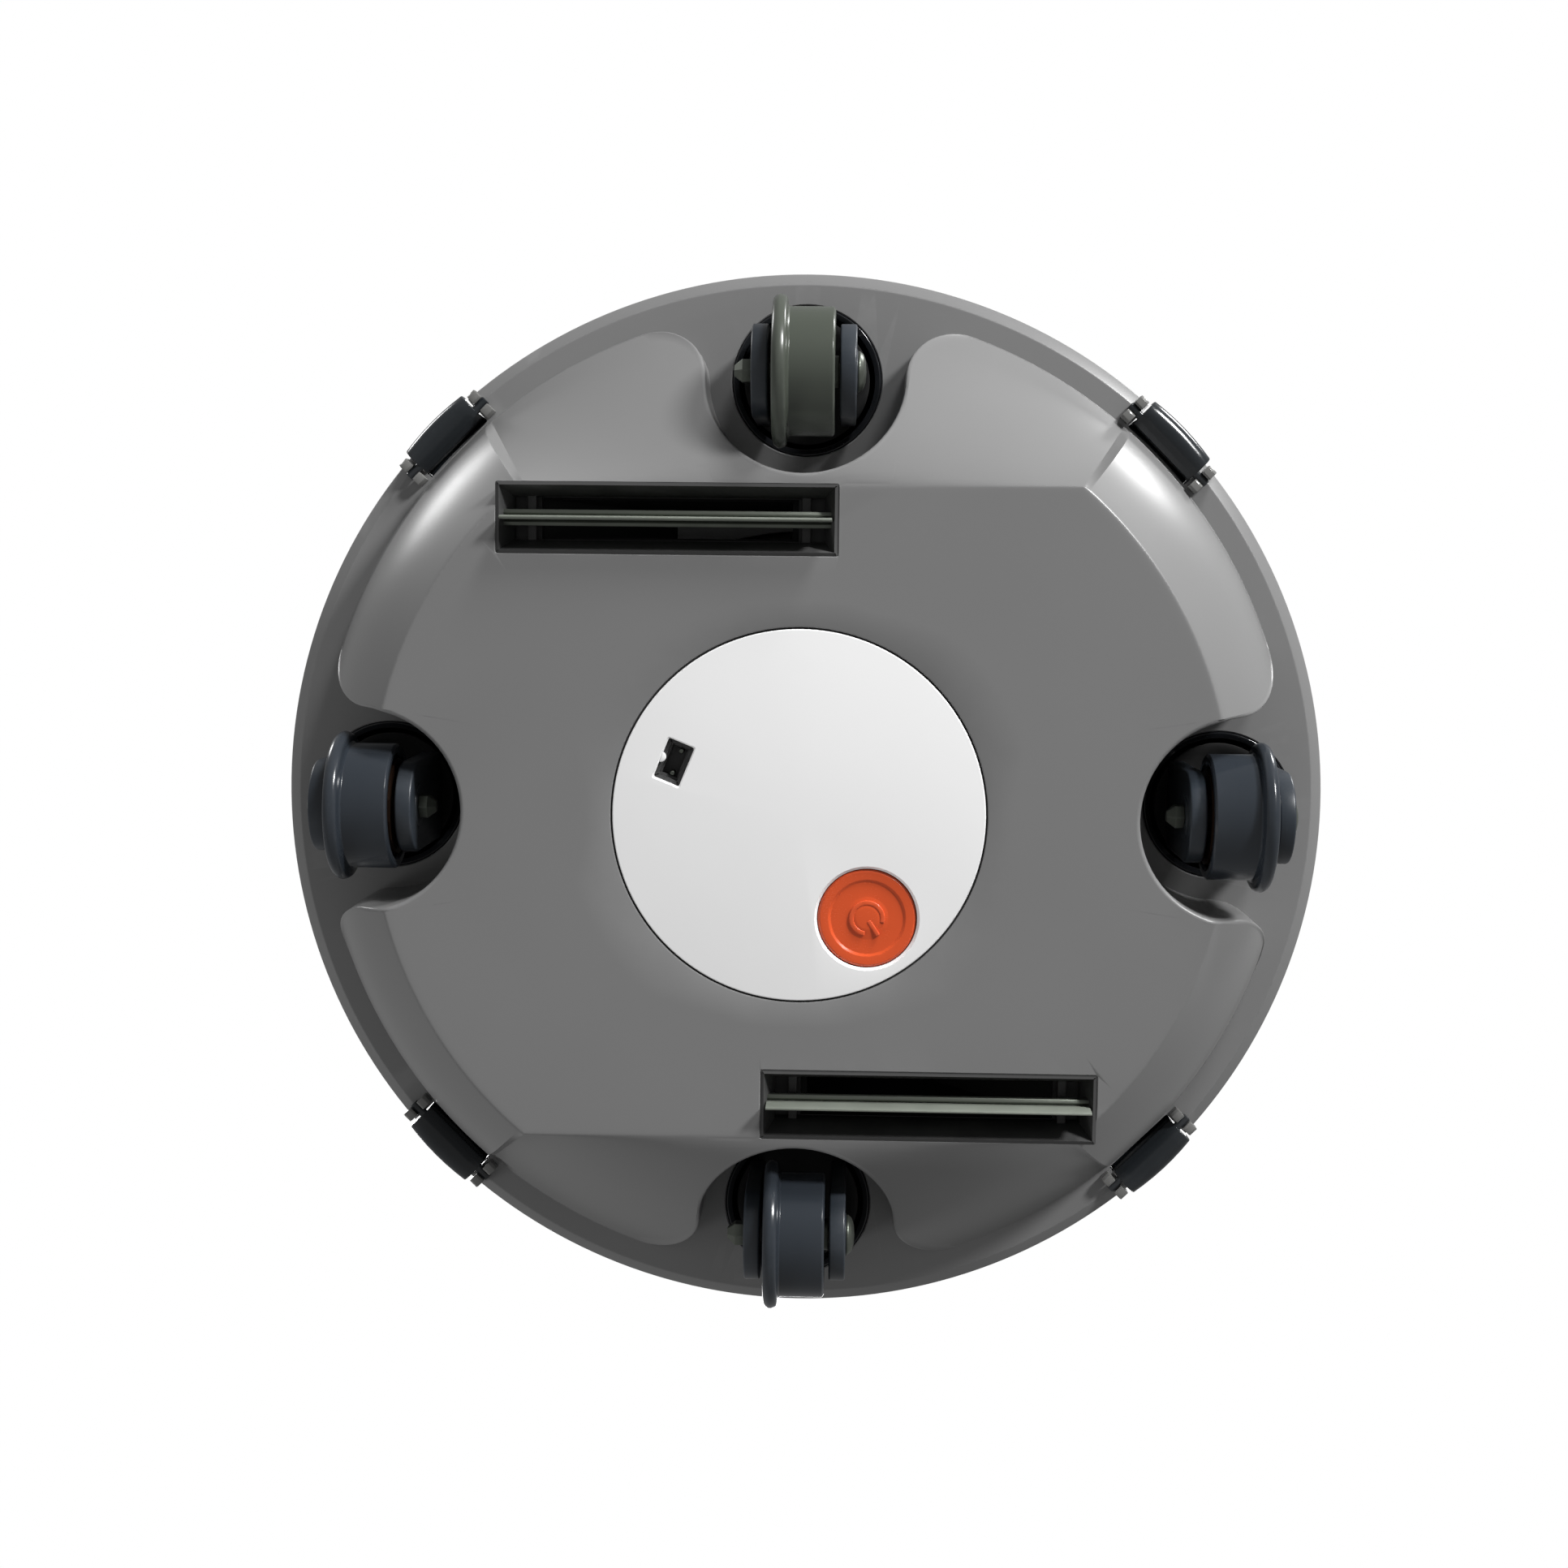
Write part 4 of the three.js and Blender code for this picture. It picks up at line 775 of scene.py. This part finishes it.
# %% Latches
def latch_lever():
    flap = softened([
        (-1.3, -1.0), (0.8, -2.3, 9), (4.4, -2.9, 9), (7.3, -0.9, 9), (8.2, 2.8, 9), (7.8, 6.4, 0.5),
        (6.3, 6.4, 0.5), (6.0, 1.6, 1.5), (4.2, 0.5), (0.9, 0.8), (-1.3, 1.2), (-1.5, 10, 0.5),
        (-4.9, 10, 0.5), (-4.9, 8, 0.4), (-3.1, 7.6), (-3.1, 0.6),
    ], 0.8, 4, closed=True)
    lever = prism(flap, -LEVER_HALF, LEVER_HALF, 0.7, 3, limit=0.9)
    for height in (0, -9, -4.5, 4.5, 9):
        scored(lever, height)
    for vert in lever.verts:  # the flap bends with the disc's rim
        share = min(max(vert.co.x / 7, 0), 1)
        vert.co.x -= 0.0055 * vert.co.z**2 * share
    rod = turned(softened([(0, -18.2), (1.5, -18.2), (1.5, 18.2), (0, 18.2)], 0.35, 3), 32)
    return together(moved(lever, ACROSS), moved(rod, ALONG_X))


for corner, angle in diagonals.items():
    place = turn(angle) @ shift(0, ROD_PLACE, ROD_Z)
    latch = f"latch_{corner}"
    piece(f"{latch}_lever", latch_lever(), latch, latch_plastic, latch, place=place)

# %% [markdown]
# ## Wheel modules
#
# A wheel with a flange like a railway wheel's runs on a bush between two arms. The arms hang from a
# turret in a half-round cup sunk in the disc. The wheel, cup, bush, bolt and nut are all turned; the
# fork's arms are one outline with a round end.

# %% Turned parts of a module
CUP_MOUTH = FACE_Z - AXLE.z
CUP_INNER = 22.63
ARM_INNER, ARM_OUTER, ARM_HALF = 11.2, 16.5, 14.75
NUT_SHOULDER = -19.6


def wheel_body():
    profile = softened([
        (5.6, -9.3, 0.2), (7.5, -9.3), (8.3, -8.3), (17.2, -8.3), (18.2, -9.6), (20.5, -10.1, 1),
        (23.0, -9.9, 2), (24.2, -8.0, 1.8), (23.4, -5.6, 1.8), (20.9, -5.1, 0.5), (20.2, -4.6, 0.4),
        (20.2, 9.1, 0.4), (19.4, 9.7, 0.4), (17.4, 9.7, 0.6), (16.5, 8.8, 0.5), (16.5, -3.4, 1),
        (5.6, -3.4, 0.3),
    ], 0.6, 4, closed=True)
    return moved(turned(profile, 96, closed=True), ALONG_X)


def bush():
    profile = softened(oblong(2.9, -10.9, 5.1, 10.9), 0.3, 3, closed=True)
    return moved(turned(profile, 40, closed=True), ALONG_X)


def bolt():
    profile = softened([
        (0, -19.3, 0), (2.1, -19.3, 0.4), (2.5, -18.8), (2.5, 16.8, 0), (6.5, 16.8, 0.3), (6.4, 17.5, 0.6),
        (5.4, 18.6, 1.5), (3.2, 19.3, 2), (0, 19.5, 0),
    ], 0.3, 4)
    return moved(turned(profile, 48), ALONG_X)


def nut():
    """A hexagon that narrows to a point beyond its shoulder."""
    hexagon = arc(0, 0, 4.15, 0, 300, 5)
    body = prism(softened(hexagon, 0.35, 2, closed=True), -22.2, -16.9)
    nose = [v for v in body.verts if v.co.z < -22]
    bmesh.ops.scale(body, vec=(0.46, 0.46, 1), verts=nose)
    scored(body, NUT_SHOULDER)
    for vert in body.verts:
        if abs(vert.co.z - NUT_SHOULDER) < 1e-3:
            radius = math.hypot(vert.co.x, vert.co.y)
            vert.co.x *= 4.1 / radius
            vert.co.y *= 4.1 / radius
    round_edges(body, sharp_edges(body, 0.5), 0.22, 2)
    return moved(body, ALONG_X)


def cup():
    """The bowl, its lip in the disc's hole, and two lugs on the plate behind."""
    lip = [
        (CUP_INNER, 0.6, 0.5), (CUP_LIP - 0.3, 0, 0.5), (CUP_LIP + 0.2, 0.6, 0.3),
        (CUP_LIP + 0.2, PLATE_THICKNESS, 0.2), (23.6, PLATE_THICKNESS, 0.3),
    ]
    outer = as_drawn(arc(0, 0, 23.8, 14, 76, 12))
    inner = as_drawn(arc(0, 0, CUP_INNER, 76, 2, 16))
    bowl = turned(softened(lip + outer + inner, 0.4, 4, closed=True), 80, closed=True)
    lugs = [block((6, 10, 2), (side * 27.6, 0, 5.3), 0.5) for side in (-1, 1)]
    return moved(together(bowl, *lugs), shift(0, 0, CUP_MOUTH))


# %% [markdown]
# The fork's arm is a plate with a half-round end and a boss round the axle. Rounding the plate's
# edges after extruding gives the soft moulded look. The turret above the arms is turned.

# %% Forks
def fork_body():
    outline = arc(0, 0, ARM_HALF, 180, 360, 28)
    top = ARM_HALF - 5
    outline += [
        Vector((ARM_HALF, CUP_MOUTH - 1)), Vector((top, CUP_MOUTH + 6)),
        Vector((-top, CUP_MOUTH + 6)), Vector((-ARM_HALF, CUP_MOUTH - 1)),
    ]
    arms = []
    for side in (-1, 1):
        arm = moved(prism(outline, ARM_INNER, ARM_OUTER, 0.7, 3), ACROSS)
        section = softened([(2.8, 16.2), (7.2, 16.2), (6.9, 16.75), (2.8, 16.75)], 0.2, 2, closed=True)
        boss = moved(turned(section, 40, closed=True), ALONG_X)
        part = together(arm, boss)
        arms.append(flipped(part, (1, 0, 0)) if side < 0 else part)
    return together(*arms)


def turret():
    """The plate the arms stand on, dished underneath, with its stem."""
    edge, depth, stem = 19.2, 4.6, 5
    steps = (0, 3, 6, 9, 12, 14.5, 16.5, 18, edge)
    dish = [(r, CUP_MOUTH + 1.6 + depth * (1 - (r / edge) ** 2), 0) for r in steps]
    profile = dish + [
        (20.9, CUP_MOUTH + 1.4, 0.4), (20.4, CUP_MOUTH + 7.4), (stem, CUP_MOUTH + 7.6),
        (stem, CUP_MOUTH + 27), (0, CUP_MOUTH + 27, 0),
    ]
    return turned(softened(profile, 0.5, 3), 64)


modules = {
    "front": (shift(0, -BAY_PLACE, AXLE.z), "caster_front", False),
    "rear": (shift(0, BAY_PLACE, AXLE.z), "caster_rear", False),
    "right": (shift(-BAY_PLACE, 0, AXLE.z), "body", True),
    "left": (shift(BAY_PLACE, 0, AXLE.z) @ turn(180), "body", True),
}
for name, (place, body, driven) in modules.items():
    axle = place @ turn(180) if driven else place
    tyre = pale_wheel if name == "front" else wheel_plastic
    piece(f"wheel_{name}_body", wheel_body(), f"wheel_{name}", tyre, f"wheel_{name}", place=place)
    piece(f"bush_{name}", bush(), body, metal, f"wheel_bush_{name}", place=place)
    piece(f"bolt_{name}", bolt(), body, metal, f"axle_bolt_{name}", place=axle)
    piece(f"nut_{name}", nut(), body, metal, f"axle_nut_{name}", place=axle, crisp=25)
    piece(f"fork_{name}_body", fork_body(), body, fork_plastic, f"fork_{name}", place=place)
    # The turret is matt black as painted shade, so the inside of the cup reads as a dark hollow.
    piece(f"turret_{name}", turret(), body, rubber_and_shade, place=place)
    cup_place = place @ turn(90 if driven else 0)  # the driven cups' lugs lie the other way
    piece(f"cup_{name}", cup(), "body", gloss_black, f"well_cup_{name}", place=cup_place)

# %% [markdown]
# ## Centre cover, button and socket
#
# A white disc covers the battery. It has a countersunk hole for the power button and a recess for
# the charging plug. The button is a dished disc with a step, and carries the usual power sign, a
# ring open at one side with a bar in the gap, raised as one moulding with it.

# %% Centre cover
BUTTON = middle_of("power_button")
SOCKET_TURN = 22
SOCKET = (-39.6, -16.6)
socket_place = shift(*SOCKET, 0) @ turn(SOCKET_TURN)


def cover():
    profile = softened([(0, 2.6, 0), (0, 0, 0), (COVER_RADIUS, 0, 0.45), (COVER_RADIUS, 2.6, 0.2)], 0.3, 4)
    profile.append(Vector((0, 2.6)))
    plate = turned(profile[1:], 160)
    countersink = turned([(0, -1), (17.6, -1), (16.7, 0), (15.9, 0.8), (15.9, 4), (0, 4)], 96)
    mouth = funnel([(9.5, 14.2, -1), (9.5, 14.2, 0), (8.7, 13.4, 0.4), (8.7, 13.4, 4)], True)
    return carved(plate, moved(countersink, shift(BUTTON.x, BUTTON.y, 0)), moved(mouth, socket_place))


piece("cover", cover(), "body", white, "centre_cover", place=shift(0, 0, BELLY_Z), crisp=30)
# A matt black ring behind the gap round the cover: painted shade that makes the gap read dark.
gap_shade_ring = turned(oblong(COVER_RADIUS + 0.05, 0.7, OPENING_RADIUS - 0.02, 2.9), 160, closed=True)
piece("cover_gap_shade", gap_shade_ring, "body", rubber_and_shade, place=shift(0, 0, BELLY_Z))


# %% Power button
BAR_ANGLE = 56


def button():
    dish = turned(softened([
        (0, 0.6, 0), (3.4, 0.7, 2), (6.8, 1.3, 1.5), (11.5, 1.4, 0.4), (12.3, 0.85, 0.4), (14.9, 0.75, 0.5),
        (15.6, 1.3, 0.3), (15.6, 2.9, 0), (17, 2.9, 0.2), (17, 4.3, 0.2), (4, 4.3, 0), (4, 5.6, 0.2),
        (0, 5.6, 0),
    ], 0.3, 3), 96)
    start, end = 98, 376
    open_ring = arc(0, 0, 5.7, start, end, 48) + arc(0, 0, 4.2, end, start, 48)
    ring = prism(open_ring, 0.62, 1.5, 0.3, 3, limit=1.2)
    bar = prism(softened(oblong(0.9, -0.65, 6.6, 0.65), 0.5, 4, closed=True), 0.42, 1.5, 0.25, 3, limit=1.2)
    return together(dish, ring, moved(bar, turn(BAR_ANGLE)))


piece("button", button(), "button", orange, "power_button", place=shift(BUTTON.x, BUTTON.y, BELLY_Z))


# %% Charging socket
def socket():
    levels = [(8.8, 13.5, 2.7), (8.8, 13.5, 6.2), (7.6, 12.2, 6.4), (7.6, 12.2, 9.4)]
    base = prism(softened(oblong(-5.9, -8.2, 5.9, 8.2), 1, 3, closed=True), 9.3, 10.9, 0.2, 2)
    return together(walled(funnel(levels, False), 1.3), base)


def socket_pin(side):
    profile = softened([(0, 4.4, 0), (0.8, 4.4, 0.5), (0.8, 11.9, 0.1), (0, 11.9, 0)], 0.4, 4)
    return moved(turned(profile, 28), shift(0.7, side * 3.8, 0))


socket_base = shift(0, 0, BELLY_Z) @ socket_place
piece("socket", socket(), "body", duct_plastic, "charge_socket", place=socket_base)
piece("socket_pin_front", socket_pin(-1), "body", metal, "charge_pin_front", place=socket_base)
piece("socket_pin_rear", socket_pin(1), "body", metal, "charge_pin_rear", place=socket_base)
key = prism(arc(-4.4, 0, 1.55, -90, 90, 16), 0.05, 3.0, 0.25, 2, limit=1.0)
piece("socket_key", key, "body", white, place=socket_base)

# %% [markdown]
# ## Wipers
#
# Each slot has a wiper: a rubber blade held in a metal rail, which rocks on a thin rod between the
# ribs. The rail's T section is drawn and extruded along the slot, and the blade's tip is tapered.

# %% Wipers
WIPER_HALF = 51.7


def rail():
    section = softened([
        (-2.6, 3.4, 0.3), (-1.5, 3.0, 0.3), (-0.9, 3.3, 0.1), (-0.9, 4.8, 0), (0.9, 4.8, 0), (0.9, 3.3, 0.1),
        (1.5, 3.0, 0.3), (2.6, 3.4, 0.3), (2.6, 5.8, 0.4), (-2.6, 5.8, 0.4),
    ], 0.3, 3, closed=True)
    strip = moved(prism(section, -WIPER_HALF, WIPER_HALF, 0.2, 2), ACROSS)
    outline = softened([(-1.9, 5.4, 0), (1.9, 5.4, 0), (1.9, 9.6), (-1.9, 9.6)], 1.6, 5, closed=True)
    lugs = []
    for rib in (-RIB_PLACE, RIB_PLACE):
        for side in (-2.9, 2.9):
            ear = prism(outline, -0.7, 0.7, 0.2, 2)
            lugs.append(moved(ear, shift(rib + side, 0, 0) @ ACROSS))
    return together(strip, *lugs)


def blade():
    section = softened([
        (-0.6, 4.4, 0), (-0.6, -4.2, 2), (-0.3, -5.6, 0.25), (0.3, -5.6, 0.25), (0.6, -4.2, 2), (0.6, 4.4, 0),
    ], 0.3, 4, closed=True)
    return moved(prism(section, -WIPER_HALF, WIPER_HALF, 0.15, 2), ACROSS)


for name, side in (("front", -1), ("rear", 1)):
    place = shift(side * SLOT.x, side * SLOT.y, BELLY_Z) @ turn(0 if side < 0 else 180)
    piece(f"rail_{name}", rail(), f"wiper_{name}", metal, f"wiper_carrier_{name}", place=place)
    piece(f"blade_{name}", blade(), f"wiper_{name}", rubber, f"wiper_blade_{name}", place=place)

# %% [markdown]
# ## The upper shell and lid
#
# The shell is a shallow drum with a rounded shoulder, and the lid is let into its top with a narrow
# gap. Both are turned. The shell's windows for the latches and its vents are cut afterwards.

# %% Upper shell
shell_low, shell_high = [Vector(corner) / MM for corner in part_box("top_shell")]
SHELL_RADIUS = (shell_high.x - shell_low.x) / 2
SHELL_TOP = shell_high.z
LID_RADIUS = (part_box("bin_lid")[1][0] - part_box("bin_lid")[0][0]) / 2 / MM
CEILING = SHELL_TOP - 2.5
SHELL_FOOT, SHELL_WALL, SHOULDER = 64.5, 1.8, 12
GROOVE = 0.5
LID_GAP, LEDGE = 0.8, 3.5
HINGE = middle_of("lid_hinge_pin")
HINGE_LENGTH = 30.0
FAN = (88, 76)
VENTS, VENT_START, VENT_STEP = 9, 5, 1.5  # angles from the fan's direction, in degrees
OUTWARD = Matrix(((1, 0, 0, 0), (0, 0, 1, 0), (0, 1, 0, 0), (0, 0, 0, 1)))  # X-Z outline, extruded along Y


def shell_profile():
    opening = LID_RADIUS + LID_GAP
    ledge = opening - LEDGE
    groove = SHELL_RADIUS - GROOVE
    shoulder = SHELL_RADIUS - SHOULDER
    bend = SHOULDER - SHELL_WALL
    outer = [
        (SHELL_RADIUS, SHELL_FOOT, 0.4), (SHELL_RADIUS, 70.2, 0.3), (groove, 70.5, 0.2), (groove, 71.1, 0.2),
        (SHELL_RADIUS, 71.4, 0.3),
    ]
    outer += as_drawn(arc(shoulder, SHELL_TOP - SHOULDER, SHOULDER, 0, 90, 14))
    outer += [
        (opening, SHELL_TOP, 0.5), (opening, CEILING - 0.3, 0.1), (ledge, CEILING - 0.3, 0.2),
        (ledge, CEILING - 1.9, 0.2),
    ]
    inner = [(opening + 2, CEILING - 1.9, 0), (opening + 2, CEILING, 0)]
    inner += as_drawn(arc(shoulder, CEILING - bend, bend, 90, 0, 8))
    inner += [(SHELL_RADIUS - SHELL_WALL, SHELL_FOOT, 0)]
    return softened(outer + inner, 0.3, 3, closed=True)


def shell_cutters():
    """Windows for the latches, the vents beside the fan, and the notch for the lid's hinge."""
    cutters = [
        moved(block((27.6, 9, 3.8), (0, SHELL_RADIUS - 1, ROD_Z + 9.6)), turn(angle))
        for angle in diagonals.values()
    ]
    first = math.degrees(math.atan2(FAN[1], FAN[0])) - 90 + VENT_START
    outline = softened(oblong(-1.1, 72.5, 1.1, 79), 1.0, 4, closed=True)
    for i in range(VENTS):
        vent = prism(outline, SHELL_RADIUS - 4, SHELL_RADIUS + 4)
        cutters.append(moved(vent, turn(first + VENT_STEP * i) @ OUTWARD))
    cutters.append(block((HINGE_LENGTH + 1.2, 18, 12), (0, HINGE.y - 6, CEILING + 0.1)))
    return cutters


def shell():
    drum = turned(shell_profile(), 200, closed=True)
    apart = HINGE_LENGTH / 2 + 3.6
    bosses = [
        block((6, 6.6, 5.8), (side * apart, HINGE.y + 0.6, SHELL_TOP - 3.0), 0.4) for side in (-1, 1)
    ]
    return together(carved(drum, *shell_cutters()), *bosses)


piece("shell", shell(), "body", grey, "top_shell", crisp=32)


# %% Lid
def lid():
    """The lid with a fine groove near its rim, a finger hollow in front and its hinge behind."""
    groove = SHELL_TOP - 0.35
    plate = turned(softened([
        (0, CEILING, 0), (LID_RADIUS, CEILING, 0.2), (LID_RADIUS, SHELL_TOP, 0.5),
        (LID_RADIUS - 9, SHELL_TOP, 0.3), (LID_RADIUS - 9.4, groove, 0.2), (LID_RADIUS - 10.2, groove, 0.2),
        (LID_RADIUS - 10.6, SHELL_TOP, 0.3), (0, SHELL_TOP, 0),
    ], 0.3, 3), 180)
    ball = turned([(0, 14.6), (5, 14.0), (10, 11.2), (13.4, 6), (14.6, 0), (13.4, -6), (0, -12)], 48)
    widened = Matrix.Scale(1.6, 4, (1, 0, 0))
    grip = moved(ball, shift(0, -LID_RADIUS + 24, SHELL_TOP + 10.6) @ widened)
    root = LID_RADIUS - 6
    thickness = SHELL_TOP - CEILING
    middle = (0, (HINGE.y + root) / 2, CEILING + thickness / 2)
    tongue = block((HINGE_LENGTH, HINGE.y - root, thickness), middle, 0.4)
    half = HINGE_LENGTH / 2
    tube = turned(softened(oblong(1.1, -half, 1.8, half), 0.2, 2, closed=True), 36, closed=True)
    barrel = moved(tube, shift(0, HINGE.y, HINGE.z) @ ALONG_X)
    return together(carved(plate, grip), tongue, barrel)


piece("lid_panel", lid(), "lid", grey, "bin_lid", crisp=30)

# %% [markdown]
# ## CAD parts that stay
#
# What sits inside the machine keeps its CAD shape and only gets a finish.

# %% Inner parts
finishes = {
    "power_switch": gloss_black, "fan_housing": duct_plastic, "fan_impeller": fork_plastic,
    "fan_motor": metal, "battery_pack": wrap, "main_board": board, "dust_bin": clear,
    "bin_filter": cloth, "lid_hinge_pin": metal,
    "drive_stator_left": copper, "drive_stator_right": copper,
    "suction_duct_front": rubber_and_shade, "suction_duct_rear": rubber_and_shade,
    "wiper_pivot_front": metal, "wiper_pivot_rear": metal,
    "fork_ring_front": metal, "fork_ring_rear": metal, "fork_ring_left": metal, "fork_ring_right": metal,
}
for node, finish in finishes.items():
    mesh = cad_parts[node].data
    mesh.materials.clear()
    mesh.materials.append(finish.material)
print("pieces made:", len(made), "CAD nodes kept:", len(finishes))

# %% [markdown]
# ## Floor, light and camera
#
# The machine stands on a pale floor, and the main camera looks up at it from underneath. The floor
# is only drawn for views from above it: its shader is clear on its lower face, and it takes no part
# in shadows or reflections, so the belly is lit as if nothing were in the way. Far out it gives light
# of its own, so that it stays pale up to the horizon. Soft lights low
# on one side light the belly, weak ones edge the rim, and one overhead is for views from above.
# Lights marked as not mirrored give light but leave no shine of their own.

# %% Floor
FLOOR_HALF, FLOOR_Z = 14, -0.0006
GLOW_START, GLOW_END = 0.7, 2.6  # distances out along the floor


def floor():
    bm = bmesh.new()
    bmesh.ops.create_grid(bm, x_segments=1, y_segments=1, size=FLOOR_HALF)
    bmesh.ops.translate(bm, vec=(0, 0, FLOOR_Z), verts=bm.verts)
    obj = as_object(bm, "floor")
    look = Finish("floor", "", (0.8, 0.8, 0.8), 0.7)
    tree = look.tree
    spot = look.node("ShaderNodeTexCoord", {}, {}, "Object")
    far = look.node("ShaderNodeVectorMath", {"operation": "LENGTH"}, {0: spot}, "Value")
    share = look.ramp(far, GLOW_START, GLOW_END)
    look.feed(Emission_Color=look.mix(share, rgba((0, 0, 0)), rgba((0.9, 0.9, 0.9))))
    look.shader.inputs["Emission Strength"].default_value = 1
    mix = tree.nodes.new("ShaderNodeMixShader")
    clear_side = tree.nodes.new("ShaderNodeBsdfTransparent")
    side = tree.nodes.new("ShaderNodeNewGeometry")
    tree.links.new(side.outputs["Backfacing"], mix.inputs[0])
    tree.links.new(look.shader.outputs[0], mix.inputs[1])
    tree.links.new(clear_side.outputs[0], mix.inputs[2])
    tree.links.new(mix.outputs[0], tree.nodes["Material Output"].inputs["Surface"])
    obj.data.materials.append(look.material)
    obj.visible_diffuse = False
    obj.visible_glossy = False
    obj.visible_transmission = False
    obj.visible_shadow = False


floor()


# %% Lights
def soft_light(name, place, size, power, mirrored=True, target=(0, 0, 0.04)):
    lamp = bpy.data.lights.new(name, "AREA")
    lamp.shape = "DISK"
    lamp.size = size
    lamp.energy = power
    obj = bpy.data.objects.new(name, lamp)
    obj.location = place
    obj.rotation_euler = (Vector(target) - Vector(place)).to_track_quat("-Z", "Y").to_euler()
    obj.visible_camera = False
    obj.visible_glossy = mirrored
    bpy.context.collection.objects.link(obj)


soft_light("key", (2.25, -2.25, -1.45), 0.55, 122)
soft_light("rake", (1.3, -3.1, -0.7), 0.75, 96, mirrored=False)
soft_light("fill", (-2.4, 1.3, -0.45), 0.9, 24, mirrored=False)
soft_light("streak", (1.55, -1.46, 1.32), 0.4, 17)
soft_light("edge_left", (-1.72, -1.25, 1.35), 0.6, 12)
soft_light("edge_right", (1.9, 0.98, 1.3), 0.6, 14, mirrored=False)
soft_light("overhead", (-0.3, 0.6, 3.6), 2.4, 105, target=(0, 0, 0.05))

# %% Surroundings
WORLD_LIGHT = 0.25  # what the white backdrop gives as light; the camera sees it as full white
world = bpy.data.worlds.new("studio")
bpy.context.scene.world = world
world.use_nodes = True
sky = world.node_tree
backdrop = sky.nodes["Background"]
backdrop.inputs["Color"].default_value = (1, 1, 1, 1)
seen = sky.nodes.new("ShaderNodeLightPath")
strength = sky.nodes.new("ShaderNodeMapRange")
strength.inputs["To Min"].default_value = WORLD_LIGHT
strength.inputs["To Max"].default_value = 1.0
sky.links.new(seen.outputs["Is Camera Ray"], strength.inputs["Value"])
sky.links.new(strength.outputs[0], backdrop.inputs["Strength"])
bpy.context.scene.view_settings.view_transform = "Standard"

# %% Camera
lens = bpy.data.cameras.new("camera")
lens.lens = 50
lens.sensor_width = 36
lens.clip_start = 0.01
camera = bpy.data.objects.new("camera", lens)
across = Vector((0.9994, -0.0105, 0.0301))
backward = Vector((0.0289, -0.0997, -0.9946)).normalized()
upward = backward.cross(across).normalized()
across = upward.cross(backward)
facing = Matrix((across, upward, backward)).transposed().to_4x4()
camera.matrix_world = shift(0.0151, -0.07865, -0.6733) @ facing
bpy.context.collection.objects.link(camera)
bpy.context.scene.camera = camera
